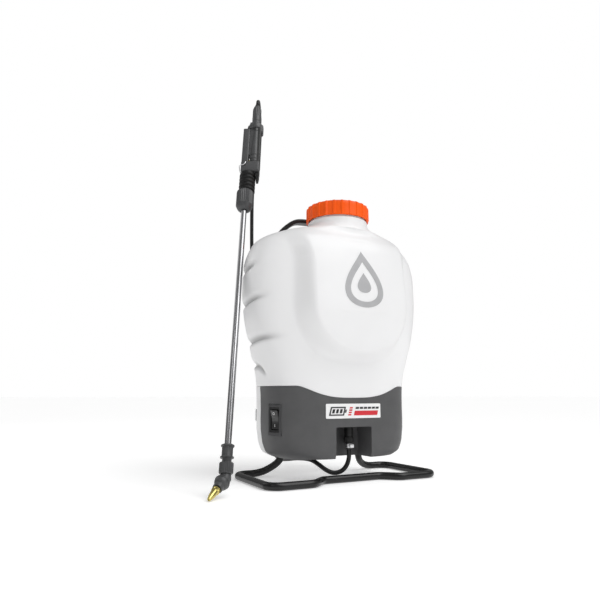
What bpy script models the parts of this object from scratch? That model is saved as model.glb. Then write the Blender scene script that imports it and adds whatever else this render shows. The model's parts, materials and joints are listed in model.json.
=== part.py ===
"""Battery backpack sprayer, an assembly of separate solids. Metres, +Z up.

The origin is on the floor, under the middle of the stand's front rail. The tank's front
faces -Y and the wearer's back faces +Y. The spray wand leans on the tank's -X side.
"""
import math

import bmesh
import bpy
import numpy as np
from mathutils import Matrix, Vector

GAP = 0.0004

# Tank and housings: (height, half width, front y, back y, squareness of the section)
BODY_LEVELS = [
    (0.0460, 0.1280, -0.0090, 0.1640, 3.0),
    (0.0520, 0.1410, -0.0108, 0.1675, 3.1),
    (0.0650, 0.1500, -0.0120, 0.1695, 3.2),
    (0.0900, 0.1560, -0.0125, 0.1700, 3.2),
    (0.1500, 0.1580, -0.0125, 0.1700, 3.2),
    (0.1860, 0.1600, -0.0135, 0.1695, 3.1),
    (0.2100, 0.1640, -0.0155, 0.1680, 3.0),
    (0.2400, 0.1730, -0.0190, 0.1670, 2.9),
    (0.2800, 0.1850, -0.0242, 0.1660, 2.8),
    (0.3200, 0.1955, -0.0252, 0.1660, 2.7),
    (0.3600, 0.2005, -0.0254, 0.1660, 2.7),
    (0.4000, 0.2015, -0.0254, 0.1660, 2.65),
    (0.4400, 0.1988, -0.0250, 0.1646, 2.6),
    (0.4700, 0.1880, -0.0229, 0.1611, 2.5),
    (0.4850, 0.1780, -0.0190, 0.1595, 2.4),
    (0.4930, 0.1670, -0.0155, 0.1545, 2.35),
    (0.5000, 0.1520, -0.0130, 0.1470, 2.3),
    (0.5060, 0.1320, -0.0130, 0.1360, 2.2),
    (0.5110, 0.1080, -0.0140, 0.1230, 2.1),
    (0.5150, 0.0860, -0.0190, 0.1120, 2.0),
]
TANK_WALL = 0.0035
TANK_COLUMNS = 40
SEAM_Z = 0.186
SEAM_DIP = 0.023
SEAM_DIP_HALF = 0.12
TANK_FLOOR_Z = 0.1905

# Shield-shaped raised front of the tank: (height, how far it stands out)
SHIELD_LIFT = [
    (0.240, 0.024),
    (0.280, 0.033),
    (0.330, 0.038),
    (0.390, 0.034),
    (0.440, 0.027),
    (0.470, 0.021),
    (0.500, 0.013),
    (0.515, 0.009),
    (0.525, 0.000),
]
SHIELD_HALF = 0.106
SHIELD_MID_Z = 0.36
SHIELD_DROP = 0.104
SHIELD_BAND = 0.13

# Neck, cap and what lies between them
NECK_Y = 0.042
NECK_R = 0.0645
NECK_BORE_R = 0.0560
NECK_TOP_Z = 0.5600
THREAD_R = 0.0600
CAP_RIM_Z = 0.5407
CAP_TOP_Z = 0.5740
CAP_R = 0.0668
CAP_BORE_R = 0.0634
CAP_RIBS = 24
STRAINER_R = 0.0520
STRAINER_BOTTOM_Z = 0.4900

# Lower housings
HOUSING_WALL = 0.003
SPLIT_Y = 0.090
RECESS_HALF = 0.0415
RECESS_BACK_Y = 0.040
RECESS_TOP_Z = 0.106

# Stand: one bent tube
STAND_R = 0.0075
STAND_SIDES = 12
STAND_HALF = 0.1885
STAND_FRONT_Y = -0.0286
STAND_BACK_Y = 0.1468
STAND_LEG_X = 0.095
STAND_LEG_Y = 0.120
STAND_BEND = 0.024

# Outlet, switch and battery
OUTLET = Vector((0.007, 0.020, 0.0))
SWITCH_CENTRE = Vector((-0.1505, 0.036, 0.121))
SWITCH_TURN = math.radians(25)
ROCKER_DEPTH = 0.0030
BATTERY_LOW = Vector((0.062, 0.030, 0.080))
BATTERY_HIGH = Vector((0.1470, 0.084, 0.142))

# Wand: a local frame whose +Z runs up along the steel tube
WAND_FOOT = Vector((-0.2758, -0.0368, 0.0466))
WAND_HEADING = math.radians(-28.1)
WAND_LEAN = math.radians(20.5)
WAND_TUBE_R = 0.006
GRIP_X = 0.016
NOZZLE_HEADING = (-0.679, -0.589, -0.441)
TRIGGER_PIVOT = Vector((-0.004, 0.0, 0.682))
CLIP_PIVOT = Vector((-0.0020, 0.0, 0.6900))
PLUNGER_FOOT = Vector((-0.0095, 0.0, 0.7060))

HOSE_R = 0.0045
HOSE_ROUTE = [
    (0.0070, 0.0200, 0.0598),
    (0.0070, 0.0200, 0.0440),
    (0.0020, 0.0212, 0.0290),
    (-0.0090, 0.0240, 0.0180),
    (-0.0240, 0.0290, 0.0150),
    (-0.0370, 0.0365, 0.0205),
    (-0.0470, 0.0475, 0.0300),
    (-0.0540, 0.0650, 0.0375),
    (-0.0590, 0.0900, 0.0385),
    (-0.0600, 0.1250, 0.0355),
    (-0.0590, 0.1650, 0.0300),
    (-0.0580, 0.2030, 0.0270),
    (-0.0580, 0.2340, 0.0350),
    (-0.0590, 0.2560, 0.0570),
    (-0.0620, 0.2680, 0.0950),
    (-0.0680, 0.2770, 0.1500),
    (-0.0780, 0.2860, 0.2500),
    (-0.0880, 0.2940, 0.3600),
    (-0.0945, 0.2980, 0.4800),
    (-0.0970, 0.2990, 0.5900),
    (-0.0965, 0.2985, 0.6800),
    (-0.0890, 0.2975, 0.7700),
    (-0.0815, 0.2968, 0.8500),
    (-0.0792, 0.2975, 0.8815),
    (-0.0835, 0.2900, 0.9000),
    (-0.0910, 0.2760, 0.9108),
    (-0.0998, 0.2590, 0.9122),
    (-0.1078, 0.2437, 0.9044),
    (-0.1131, 0.2335, 0.8892),
]

MATERIALS = {
    "tank_white": ((0.86, 0.86, 0.86), 0.35, 0.0),
    "housing_grey": ((0.085, 0.085, 0.087), 0.50, 0.0),
    "cap_orange": ((0.95, 0.10, 0.005), 0.38, 0.0),
    "stand_black": ((0.012, 0.012, 0.013), 0.32, 0.0),
    "trim_black": ((0.015, 0.015, 0.016), 0.45, 0.0),
    "rubber_black": ((0.014, 0.014, 0.014), 0.70, 0.0),
    "fitting_grey": ((0.075, 0.076, 0.078), 0.45, 0.0),
    "steel": ((0.62, 0.62, 0.63), 0.18, 1.0),
    "zinc": ((0.70, 0.70, 0.71), 0.35, 1.0),
    "brass": ((0.72, 0.55, 0.18), 0.22, 1.0),
    "label_white": ((0.88, 0.88, 0.88), 0.40, 0.0),
    "fabric_black": ((0.018, 0.018, 0.019), 0.85, 0.0),
    "seal_grey": ((0.10, 0.10, 0.10), 0.60, 0.0),
    "clear_line": ((0.75, 0.77, 0.78), 0.30, 0.0),
}


def clear_scene():
    for thing in list(bpy.data.objects):
        bpy.data.objects.remove(thing)


def material(name):
    if name in bpy.data.materials:
        return bpy.data.materials[name]
    colour, roughness, metallic = MATERIALS[name]
    made = bpy.data.materials.new(name)
    made.use_nodes = True
    shader = made.node_tree.nodes["Principled BSDF"]
    shader.inputs["Base Color"].default_value = (*colour, 1.0)
    shader.inputs["Roughness"].default_value = roughness
    shader.inputs["Metallic"].default_value = metallic
    return made


def add_object(name, bm, finish, parent=None, smooth=True):
    bmesh.ops.recalc_face_normals(bm, faces=bm.faces)
    mesh = bpy.data.meshes.new(name)
    bm.to_mesh(mesh)
    bm.free()
    if smooth:
        mesh.shade_smooth()
        mesh.set_sharp_from_angle(angle=math.radians(35))
    made = bpy.data.objects.new(name, mesh)
    made.data.materials.append(material(finish))
    bpy.context.scene.collection.objects.link(made)
    made.parent = parent
    return made


def add_empty(name, matrix, parent=None):
    made = bpy.data.objects.new(name, None)
    bpy.context.scene.collection.objects.link(made)
    made.parent = parent
    made.matrix_basis = matrix
    return made


def make_cutter(thing):
    thing.hide_render = True
    thing.display_type = "WIRE"
    return thing


def combine(thing, other, operation):
    """A Boolean that stays on the object. The other object is only a guide."""
    step = thing.modifiers.new(operation.lower(), "BOOLEAN")
    step.operation = operation
    step.solver = "EXACT"
    step.object = make_cutter(other)
    return thing


def cut(thing, *cutters):
    for other in cutters:
        combine(thing, other, "DIFFERENCE")
    return thing


def join(thing, *others):
    for other in others:
        combine(thing, other, "UNION")
    return thing


def block(name, low, high, finish, parent=None, bevel=0.0, segments=2):
    """A box between two corners, with its edges rounded."""
    low, high = Vector(low), Vector(high)
    bm = bmesh.new()
    bmesh.ops.create_cube(bm, size=1.0)
    size = high - low
    bmesh.ops.scale(bm, vec=size, verts=bm.verts)
    bmesh.ops.translate(bm, vec=(low + high) / 2, verts=bm.verts)
    if bevel:
        bmesh.ops.bevel(bm, geom=bm.edges[:], offset=bevel, segments=segments, affect="EDGES")
    return add_object(name, bm, finish, parent)


def turned(name, profile, finish, parent=None, segments=20, place=None, ring=False):
    """Spins (radius, height) points about local Z. A ring's profile closes on itself."""
    bm = bmesh.new()
    points = [bm.verts.new((r, 0.0, z)) for r, z in profile]
    pairs = list(zip(points, points[1:]))
    if ring:
        pairs.append((points[-1], points[0]))
    edges = [bm.edges.new(pair) for pair in pairs]
    bmesh.ops.spin(
        bm,
        geom=points + edges,
        cent=(0, 0, 0),
        axis=(0, 0, 1),
        angle=2 * math.pi,
        steps=segments,
        use_merge=True,
    )
    bmesh.ops.remove_doubles(bm, verts=bm.verts, dist=1e-6)
    made = add_object(name, bm, finish, parent)
    if place is not None:
        made.matrix_basis = place
    return made


def rod(name, start, end, radius, finish, parent=None, segments=16):
    """A plain cylinder between two points."""
    start, end = Vector(start), Vector(end)
    along = end - start
    place = Matrix.Translation(start) @ along.to_track_quat("Z", "Y").to_matrix().to_4x4()
    profile = [(0, 0), (radius, 0), (radius, along.length), (0, along.length)]
    return turned(name, profile, finish, parent, segments, place)


def loft(name, rings, finish, parent=None):
    """Bridges rings of equal count and closes both ends with a fan."""
    bm = bmesh.new()
    rows = [[bm.verts.new(p) for p in ring] for ring in rings]
    count = len(rows[0])
    for lower, upper in zip(rows, rows[1:]):
        for i in range(count):
            j = (i + 1) % count
            bm.faces.new((lower[i], lower[j], upper[j], upper[i]))
    for row in (rows[0], rows[-1]):
        middle = sum((v.co for v in row), Vector()) / count
        centre = bm.verts.new(middle)
        for i in range(count):
            bm.faces.new((row[i], row[(i + 1) % count], centre))
    return add_object(name, bm, finish, parent)


def smooth_route(knots, spacing):
    """Points at an even spacing on a Catmull-Rom curve through the knots."""
    p = np.array(knots, float)
    p = np.vstack([2 * p[0] - p[1], p, 2 * p[-1] - p[-2]])
    fine = []
    for a, b, c, d in zip(p, p[1:], p[2:], p[3:]):
        for t in np.linspace(0, 1, 24, endpoint=False):
            t2, t3 = t * t, t * t * t
            fine.append(
                0.5 * (2 * b + (c - a) * t + (2 * a - 5 * b + 4 * c - d) * t2 + (3 * b - a - 3 * c + d) * t3)
            )
    fine.append(p[-2])
    fine = np.array(fine)
    run = np.concatenate([[0], np.cumsum(np.linalg.norm(np.diff(fine, axis=0), axis=1))])
    count = max(2, round(run[-1] / spacing) + 1)
    at = np.linspace(0, run[-1], count)
    return np.stack([np.interp(at, run, fine[:, k]) for k in range(3)], 1)


def sweep(name, path, section, finish, parent=None, up=(0, 0, 1), keep_up=None):
    """Carries a section of (side, up) points along a path, turning as little as it can.

    keep_up is the index of the path point where the section's up is the given up.
    """
    path = [Vector(p) for p in path]
    last = len(path) - 1
    tangents = [(path[min(i + 1, last)] - path[max(i - 1, 0)]).normalized() for i in range(last + 1)]
    start = 0 if keep_up is None else keep_up
    ups = [None] * len(path)
    ups[start] = (Vector(up) - Vector(up).dot(tangents[start]) * tangents[start]).normalized()
    for i in range(start + 1, len(path)):
        ups[i] = tangents[i - 1].rotation_difference(tangents[i]) @ ups[i - 1]
    for i in range(start - 1, -1, -1):
        ups[i] = tangents[i + 1].rotation_difference(tangents[i]) @ ups[i + 1]
    rings = []
    for point, tangent, high in zip(path, tangents, ups):
        side = tangent.cross(high).normalized()
        rings.append([point + side * s + high * h for s, h in section])
    return loft(name, rings, finish, parent)


def round_section(radius, sides):
    """A polygon with a flat side at the bottom, as high as it is wide."""
    turn = math.pi / sides
    return [
        (radius * math.sin(turn + 2 * turn * i), -radius * math.cos(turn + 2 * turn * i))
        for i in range(sides)
    ]


def strap_section(width, thickness):
    """A flat section with chamfered edges."""
    w, t, c = width / 2, thickness / 2, thickness * 0.28
    return [(-w, -t + c), (-w + c, -t), (w - c, -t), (w, -t + c), (w, t - c), (w - c, t), (-w + c, t), (-w, t - c)]


def tube_curve(name, points, radius, finish, resolution=2):
    """A round tube as a curve with a bevel and filled caps."""
    data = bpy.data.curves.new(name, "CURVE")
    data.dimensions = "3D"
    data.bevel_depth = radius
    data.bevel_resolution = resolution
    data.use_fill_caps = True
    spline = data.splines.new("POLY")
    spline.points.add(len(points) - 1)
    for target, point in zip(spline.points, points):
        target.co = (*point, 1.0)
    data.materials.append(material(finish))
    made = bpy.data.objects.new(name, data)
    bpy.context.scene.collection.objects.link(made)
    return made


# ---------------------------------------------------------------- tank and housings


def smoothstep(t):
    t = np.clip(t, 0.0, 1.0)
    return t * t * (3 - 2 * t)


def body_level(z):
    """(half width, front y, back y, squareness) at a height."""
    table = np.array(BODY_LEVELS)
    return [float(np.interp(z, table[:, 0], table[:, k])) for k in range(1, 5)]


def shield_lift(x, z):
    """How far the raised front stands out at a point."""
    table = np.array(SHIELD_LIFT)
    height = float(np.interp(z, table[:, 0], table[:, 1]))
    below = max(0.0, SHIELD_MID_Z - z) / SHIELD_DROP
    reach = ((abs(x) / SHIELD_HALF) ** 2.3 + below**2.3) ** (1 / 2.3)
    return height * (1.0 - float(smoothstep((reach - 1.0) / SHIELD_BAND)))


def section_angles():
    """Angles that space the columns evenly round the tank's widest section."""
    fine = np.linspace(0, 2 * math.pi, 1441)
    half, front, back, square = body_level(0.38)
    x = half * np.sign(np.cos(fine)) * np.abs(np.cos(fine)) ** (2 / square)
    y = (back - front) / 2 * np.sign(np.sin(fine)) * np.abs(np.sin(fine)) ** (2 / square)
    run = np.concatenate([[0], np.cumsum(np.hypot(np.diff(x), np.diff(y)))])
    return np.interp(np.arange(TANK_COLUMNS) / TANK_COLUMNS * run[-1], run, fine)


ANGLES = section_angles()


def body_ring(z, inset=0.0):
    """One section of the body at a height, as points in turn."""
    half, front, back, square = body_level(z)
    half, front, back = half - inset, front + inset, back - inset
    middle, deep = (front + back) / 2, (back - front) / 2
    ring = []
    for angle in ANGLES:
        c, s = math.cos(angle), math.sin(angle)
        x = half * math.copysign(abs(c) ** (2 / square), c)
        y = middle + deep * math.copysign(abs(s) ** (2 / square), s)
        if s < 0:
            y -= shield_lift(x, z)
        ring.append(Vector((x, y, z)))
    return ring


def seam_height(x, y):
    """Height of the edge between tank and housings, which dips at the front."""
    share = min(1.0, abs(x) / SEAM_DIP_HALF)
    return SEAM_Z - (SEAM_DIP * (1 - share**2.6) if y < SPLIT_Y else 0.0)


def circle_ring(radius, z):
    return [Vector((radius * math.cos(a), NECK_Y + radius * math.sin(a), z)) for a in ANGLES]


def make_tank():
    bottom = [Vector((p.x, p.y, seam_height(p.x, p.y))) for p in body_ring(SEAM_Z)]
    heights = [0.198, 0.235, 0.25, 0.262, 0.28, 0.30, 0.33, 0.36, 0.40, 0.44, 0.47]
    heights += [0.485, 0.493, 0.500, 0.506, 0.511, 0.515]
    outer = [bottom] + [body_ring(z) for z in heights]
    outer += [circle_ring(NECK_R + 0.004, 0.5215), circle_ring(NECK_R, 0.530), circle_ring(NECK_R, CAP_RIM_Z - 0.0008)]
    outer += [circle_ring(THREAD_R, CAP_RIM_Z), circle_ring(THREAD_R, NECK_TOP_Z)]
    inner = [circle_ring(NECK_BORE_R, NECK_TOP_Z), circle_ring(NECK_BORE_R, 0.5175)]
    for z in (0.511, 0.506, 0.500, 0.485, 0.47, 0.43, 0.37, 0.31, 0.26, 0.235, TANK_FLOOR_Z):
        drop = TANK_WALL if z > 0.49 else 0.0
        inner.append([Vector((p.x, p.y, z - drop)) for p in body_ring(z, TANK_WALL)])
    tank = loft("tank", outer + inner, "tank_white")
    outlet_hole = rod("outlet_hole", (0.026, 0.105, 0.17), (0.026, 0.105, 0.20), 0.0093, "tank_white")
    return cut(tank, outlet_hole)


def housing_solid(name, inset, top_drop, finish):
    """The lower body's outer or inner form. The inner one is taller, so that it opens the top."""
    levels = [z for z, *_ in BODY_LEVELS if z < SEAM_Z]
    rings = []
    for z in levels:
        ring = body_ring(z, inset)
        if z == levels[0]:
            ring = [Vector((p.x, p.y, z + inset)) for p in ring]
        rings.append(ring)
    top = body_ring(SEAM_Z, inset)
    if inset:
        rings.append([Vector((p.x, p.y, SEAM_Z + 0.02)) for p in top])
    else:
        rings.append([Vector((p.x, p.y, seam_height(p.x, p.y) - top_drop)) for p in top])
    return loft(name, rings, finish)


def make_housings():
    far = 0.3
    low_front, high_front = (-far, SPLIT_Y - GAP / 2, -0.1), (far, far, far)
    low_rear, high_rear = (-far, -far, -0.1), (far, SPLIT_Y + GAP / 2, far)
    recess = RECESS_HALF + HOUSING_WALL

    front = housing_solid("front_housing", 0.0, GAP, "housing_grey")
    inside = housing_solid("front_inside", HOUSING_WALL, 0.0, "housing_grey")
    pocket = block(
        "recess_walls",
        (-recess, -0.05, 0.02),
        (recess, RECESS_BACK_Y + HOUSING_WALL, RECESS_TOP_Z + HOUSING_WALL),
        "housing_grey",
    )
    cut(inside, pocket)
    recess_cut = block("recess_cut", (-RECESS_HALF, -0.06, 0.01), (RECESS_HALF, RECESS_BACK_Y, RECESS_TOP_Z), "housing_grey")
    outlet_hole = rod("outlet_cut", (*OUTLET.xy, 0.09), (*OUTLET.xy, 0.13), 0.0068, "housing_grey")
    switch_hole = block("switch_cut", (-0.02, -0.0164, -0.0304), (0.03, 0.0164, 0.0304), "housing_grey", switch_frame)
    grow = Vector((0.0012, 0.0012, 0.0012))
    battery_hole = block("battery_cut", BATTERY_LOW - grow, BATTERY_HIGH + grow + Vector((0.03, 0, 0)), "housing_grey")
    rear_half = block("rear_half", low_front, high_front, "housing_grey")
    cut(front, inside, rear_half, recess_cut, outlet_hole, switch_hole, battery_hole)

    rear = housing_solid("rear_cover", 0.0, GAP, "tank_white")
    rear_inside = housing_solid("rear_inside", HOUSING_WALL, 0.0, "tank_white")
    front_half = block("front_half", low_rear, high_rear, "tank_white")
    cut(rear, rear_inside, front_half)
    for side in (-1, 1):
        x = side * STAND_LEG_X
        cut(rear, rod(f"leg_cut_{side}", (x, STAND_LEG_Y, 0.02), (x, STAND_LEG_Y, 0.056), 0.0098, "tank_white"))


# ---------------------------------------------------------------- neck and cap


def neck_place(z=0.0):
    return Matrix.Translation((0, NECK_Y, z))


def make_cap():
    rim, top = CAP_RIM_Z, CAP_TOP_Z
    roof = 0.5669
    profile = [
        (CAP_BORE_R, rim),
        (CAP_R - 0.0008, rim),
        (CAP_R, rim + 0.0015),
        (CAP_R, top - 0.006),
        (CAP_R - 0.0035, top - 0.0015),
        (CAP_R - 0.010, top),
        (0, top),
        (0, roof),
        (CAP_BORE_R, roof),
    ]
    shell = turned("cap_shell", profile + profile[:1], "cap_orange", segments=36, place=neck_place())
    for i in range(CAP_RIBS):
        turn = Matrix.Rotation(2 * math.pi * i / CAP_RIBS, 4, "Z")
        rib = block(f"cap_rib_{i}", (CAP_R - 0.002, -0.0022, rim + 0.0012), (CAP_R + 0.0018, 0.0022, top - 0.0032), "cap_orange")
        rib.matrix_basis = neck_place() @ turn
        join(shell, rib)

    liner = [(0, 0.5645), (0.0605, 0.5645), (0.0605, 0.5665), (0, 0.5665)]
    turned("cap_liner", liner, "seal_grey", segments=32, place=neck_place())
    ring = [(0.0525, 0.5624), (0.0600, 0.5624), (0.0600, 0.5641), (0.0525, 0.5641)]
    turned("cap_seal", ring, "rubber_black", segments=32, place=neck_place(), ring=True)


def make_strainer():
    bottom, flange = STRAINER_BOTTOM_Z, NECK_TOP_Z + GAP
    profile = [
        (0, bottom),
        (STRAINER_R - 0.004, bottom),
        (STRAINER_R, bottom + 0.004),
        (STRAINER_R, flange),
        (0.0598, flange),
        (0.0598, flange + 0.0016),
        (STRAINER_R - 0.002, flange + 0.0016),
        (STRAINER_R - 0.002, bottom + 0.003),
        (0, bottom + 0.003),
    ]
    basket = turned("strainer", profile, "trim_black", segments=24, place=neck_place())
    for i in range(4):
        turn = Matrix.Rotation(math.pi * (i + 0.5) / 4, 4, "Z")
        window = block(f"strainer_window_{i}", (-0.08, -0.011, bottom + 0.010), (0.08, 0.011, flange - 0.014), "trim_black")
        window.matrix_basis = neck_place() @ turn
        cut(basket, window)


# ---------------------------------------------------------------- stand


def stand_path():
    """Half of the bent tube's centre line, from the middle of the front rail to a leg's top."""
    height = STAND_R * math.cos(math.pi / STAND_SIDES)
    half, front, back, bend = STAND_HALF, STAND_FRONT_Y, STAND_BACK_Y, STAND_BEND
    points = [(0.0, 0.0, height), (0.030, 0.0, height), (0.058, 0.0, height), (0.0665, -0.0016, height)]
    points += [(0.0760, -0.0078, height), (0.0900, -0.0208, height), (0.0995, -0.0270, height)]
    points += [(0.1080, front, height), (0.135, front, height)]
    for i in range(5):
        turn = math.pi / 2 * i / 4
        points.append((half - bend + bend * math.sin(turn), front + bend - bend * math.cos(turn), height))
    points.append((half, (front + back) / 2, height))
    for i in range(5):
        turn = math.pi / 2 * i / 4
        points.append((half - bend + bend * math.cos(turn), back - bend + bend * math.sin(turn), height))
    leg = [(0.150, back, height), (0.138, 0.1462, 0.0083), (0.126, 0.1430, 0.0115), (0.1140, 0.1375, 0.0180)]
    leg += [(0.1045, 0.1300, 0.0260), (0.0985, 0.1240, 0.0345), (0.0956, 0.1207, 0.0430)]
    leg += [(STAND_LEG_X, STAND_LEG_Y, 0.0500), (STAND_LEG_X, STAND_LEG_Y, 0.0780)]
    return points + leg


def make_stand():
    half = stand_path()
    path = [(-x, y, z) for x, y, z in reversed(half[1:])] + half
    sweep("stand_tube", path, round_section(STAND_R, STAND_SIDES), "stand_black", keep_up=len(half) - 1)
    for x, label in ((-STAND_LEG_X, "left"), (STAND_LEG_X, "right")):
        profile = [
            (STAND_R + 0.0005, 0.0496),
            (0.0118, 0.0496),
            (0.0118, 0.0840),
            (0, 0.0840),
            (0, 0.0800),
            (STAND_R + 0.0005, 0.0800),
            (STAND_R + 0.0005, 0.0496),
        ]
        place = Matrix.Translation((x, STAND_LEG_Y, 0))
        turned(f"stand_socket_{label}", profile, "trim_black", place=place)


# ---------------------------------------------------------------- switch, battery and pump


def make_switch():
    bezel = block("switch_bezel", (-0.0030, -0.0160, -0.0300), (0.0050, 0.0160, 0.0300), "trim_black", switch_frame, 0.0012)
    hole = block("bezel_cut", (-0.01, -0.0092, -0.0198), (0.02, 0.0092, 0.0198), "trim_black", switch_frame)
    cut(bezel, hole)
    body = block("switch_body", (0.0054, -0.0120, -0.0220), (0.0240, 0.0120, 0.0220), "trim_black", switch_frame, 0.0008)
    seat = block("switch_seat", (0.0, -0.0094, -0.0200), (0.0150, 0.0094, 0.0200), "trim_black", switch_frame)
    cut(body, seat)

    bm = bmesh.new()
    outline = [(-0.0016, -0.0180), (-0.0052, 0.0180), (0.0040, 0.0165), (0.0078, 0.0), (0.0060, -0.0168)]
    outline.insert(1, (-0.0014, 0.0))
    near = [bm.verts.new((x, -0.0086, z)) for x, z in outline]
    far = [bm.verts.new((x, 0.0086, z)) for x, z in outline]
    bm.faces.new(near)
    bm.faces.new(list(reversed(far)))
    for i in range(len(near)):
        j = (i + 1) % len(near)
        bm.faces.new((near[j], near[i], far[i], far[j]))
    bmesh.ops.translate(bm, vec=(-ROCKER_DEPTH, 0, 0), verts=bm.verts)
    add_object("switch_rocker", bm, "rubber_black", rocker_frame)


def make_battery():
    low, high = BATTERY_LOW, BATTERY_HIGH
    pack = block("battery_pack", low, high, "trim_black", bevel=0.004)
    button_cut = block("latch_cut", (high.x - 0.012, 0.040, 0.1215), (high.x + 0.01, 0.068, 0.1345), "trim_black")
    cut(pack, button_cut)
    block(
        "battery_latch",
        (high.x - 0.0085, 0.0404, 0.1219),
        (high.x + 0.0018, 0.0676, 0.1341),
        "cap_orange",
        bevel=0.001,
    )
    dock = block("battery_dock", (low.x - 0.006, low.y - 0.0030, low.z - 0.0035), (0.128, high.y + 0.0030, high.z + 0.003), "trim_black")
    room = block("dock_room", low - Vector((0.0008,) * 3), high + Vector((0.02, 0.0008, 0.0008)), "trim_black")
    cut(dock, room)


def make_pump():
    head = block("pump_head", (-0.034, 0.060, 0.068), (0.018, 0.122, 0.124), "trim_black", bevel=0.003)
    bore = rod("pump_bore", (-0.05, 0.091, 0.096), (-0.006, 0.091, 0.096), 0.0135, "trim_black", segments=24)
    cut(head, bore)
    cover = block("pump_cover", (0.0184, 0.062, 0.070), (0.034, 0.120, 0.122), "fitting_grey", bevel=0.002)
    suction = rod("suction_spigot", (0.026, 0.105, 0.11), (0.026, 0.105, 0.136), 0.004, "fitting_grey")
    outlet = rod("outlet_spigot", (0.026, 0.074, 0.11), (0.026, 0.074, 0.132), 0.004, "fitting_grey")
    join(cover, suction, outlet)

    motor_profile = [(0.0048, 0), (0.0170, 0), (0.0185, 0.003), (0.0185, 0.055), (0.0165, 0.0575), (0, 0.0575)]
    motor_profile += [(0, 0.012), (0.0048, 0.012), (0.0048, 0)]
    along_x = Matrix.Translation((-0.0348, 0.091, 0.096)) @ Matrix.Rotation(-math.pi / 2, 4, "Y")
    turned("pump_motor", motor_profile, "zinc", place=along_x)
    shaft = rod("motor_shaft", (-0.046, 0.091, 0.096), (-0.009, 0.091, 0.096), 0.0025, "steel", segments=12)
    eccentric = rod("eccentric", (-0.024, 0.091, 0.0985), (-0.012, 0.091, 0.0985), 0.0080, "steel", segments=20)
    join(shaft, eccentric)
    block("pump_bracket", (-0.080, 0.055, 0.0496), (0.030, 0.107, 0.0540), "zinc", bevel=0.001)
    post_low = (-0.030, 0.066, 0.053)
    post = block("bracket_post", post_low, (0.014, 0.105, 0.0676), "zinc")
    join(bpy.data.objects["pump_bracket"], post)

    fitting = [(0.0042, 0.1555), (0.0042, 0.1690), (0.0130, 0.1690), (0.0130, 0.1790)]
    fitting += [(0.0088, 0.1790), (0.0088, 0.1965), (0.0016, 0.1965), (0.0016, 0.1555)]
    place = Matrix.Translation((0.026, 0.105, 0))
    turned("suction_fitting", fitting, "fitting_grey", segments=20, place=place, ring=True)
    strainer = [(0.0060, 0.1970), (0.0140, 0.1970), (0.0140, 0.2080), (0.0110, 0.2220), (0, 0.2220)]
    strainer += [(0, 0.2190), (0.0060, 0.2190), (0.0060, 0.1970)]
    turned("suction_filter", strainer, "trim_black", segments=20, place=place)
    tube_curve("suction_line", [(0.026, 0.105, 0.1364), (0.026, 0.105, 0.1460), (0.026, 0.105, 0.1551)], 0.0045, "clear_line")
    knots = [(0.026, 0.074, 0.1324), (0.026, 0.073, 0.142), (0.0215, 0.060, 0.1515), (0.0135, 0.040, 0.1520)]
    knots += [(0.008, 0.026, 0.1470), (*OUTLET.xy, 0.1380), (*OUTLET.xy, 0.1304)]
    tube_curve("discharge_line", smooth_route(knots, 0.008), 0.0042, "clear_line")


def make_wiring():
    knots = [(-0.1282, 0.0464, 0.121), (-0.1215, 0.0500, 0.120), (-0.112, 0.064, 0.112), (-0.1040, 0.085, 0.0985)]
    knots.append((-0.0930, 0.0910, 0.0960))
    tube_curve("switch_lead", smooth_route(knots, 0.007), 0.0022, "rubber_black")
    knots = [(0.0548, 0.0480, 0.0820), (0.050, 0.0480, 0.0815), (0.042, 0.050, 0.066), (0.022, 0.050, 0.0590)]
    knots += [(-0.030, 0.0500, 0.0590), (-0.085, 0.050, 0.0660), (-0.1240, 0.0440, 0.0790), (-0.1315, 0.0430, 0.0978)]
    tube_curve("battery_lead", smooth_route(knots, 0.009), 0.0022, "rubber_black")


def make_outlet():
    profile = [
        (0.0018, 0.0600),
        (0.0030, 0.0600),
        (0.0030, 0.0740),
        (0.0105, 0.0740),
        (0.0105, 0.0840),
        (0.0085, 0.0860),
        (0.0085, 0.1055),
        (0.0062, 0.1055),
        (0.0062, 0.1300),
        (0.0018, 0.1300),
    ]
    place = Matrix.Translation((*OUTLET.xy, 0))
    turned("outlet_barb", profile, "trim_black", segments=20, place=place, ring=True)
    sleeve = [(0.0034, 0.0602), (0.0060, 0.0602), (0.0060, 0.0736), (0.0034, 0.0736)]
    turned("hose_cuff", sleeve, "rubber_black", segments=20, place=place, ring=True)
    clamp = [(0.0064, 0.0630), (0.0086, 0.0630), (0.0086, 0.0718), (0.0064, 0.0718)]
    band = turned("hose_clamp", clamp, "zinc", segments=20, place=place, ring=True)
    low = Vector((OUTLET.x - 0.0040, OUTLET.y - 0.0135, 0.0640))
    screw = block("clamp_screw", low, low + Vector((0.0080, 0.0060, 0.0068)), "zinc")
    join(band, screw)


def make_trim():
    low, high = (-0.065, -0.0140, 0.1225), (0.065, -0.0100, 0.1520)
    plate = block("label_plate", low, high, "label_white")
    cut(plate, housing_solid("label_backing", -GAP, 0.0, "label_white"))


# ---------------------------------------------------------------- carrying gear


def make_carry_handle():
    half = [(0.0, 0.130, 0.5635), (0.030, 0.130, 0.5630), (0.058, 0.1315, 0.5600), (0.076, 0.1370, 0.5490)]
    half += [(0.090, 0.1480, 0.5330), (0.0985, 0.1625, 0.5140), (0.102, 0.1715, 0.4960), (0.1025, 0.1730, 0.4750)]
    half += [(0.1025, 0.1730, 0.4450)]
    right = smooth_route(half, 0.012)
    path = [(-x, y, z) for x, y, z in right[:0:-1]] + [tuple(p) for p in right]
    sweep("carry_handle", path, strap_section(0.026, 0.0100), "trim_black", keep_up=len(right) - 1)
    for x, label in ((-0.1025, "left"), (0.1025, "right")):
        rod(f"handle_bolt_{label}", (x * 1.090, 0.1730, 0.460), (x * 1.120, 0.1730, 0.460), 0.0058, "zinc", segments=6)


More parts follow.
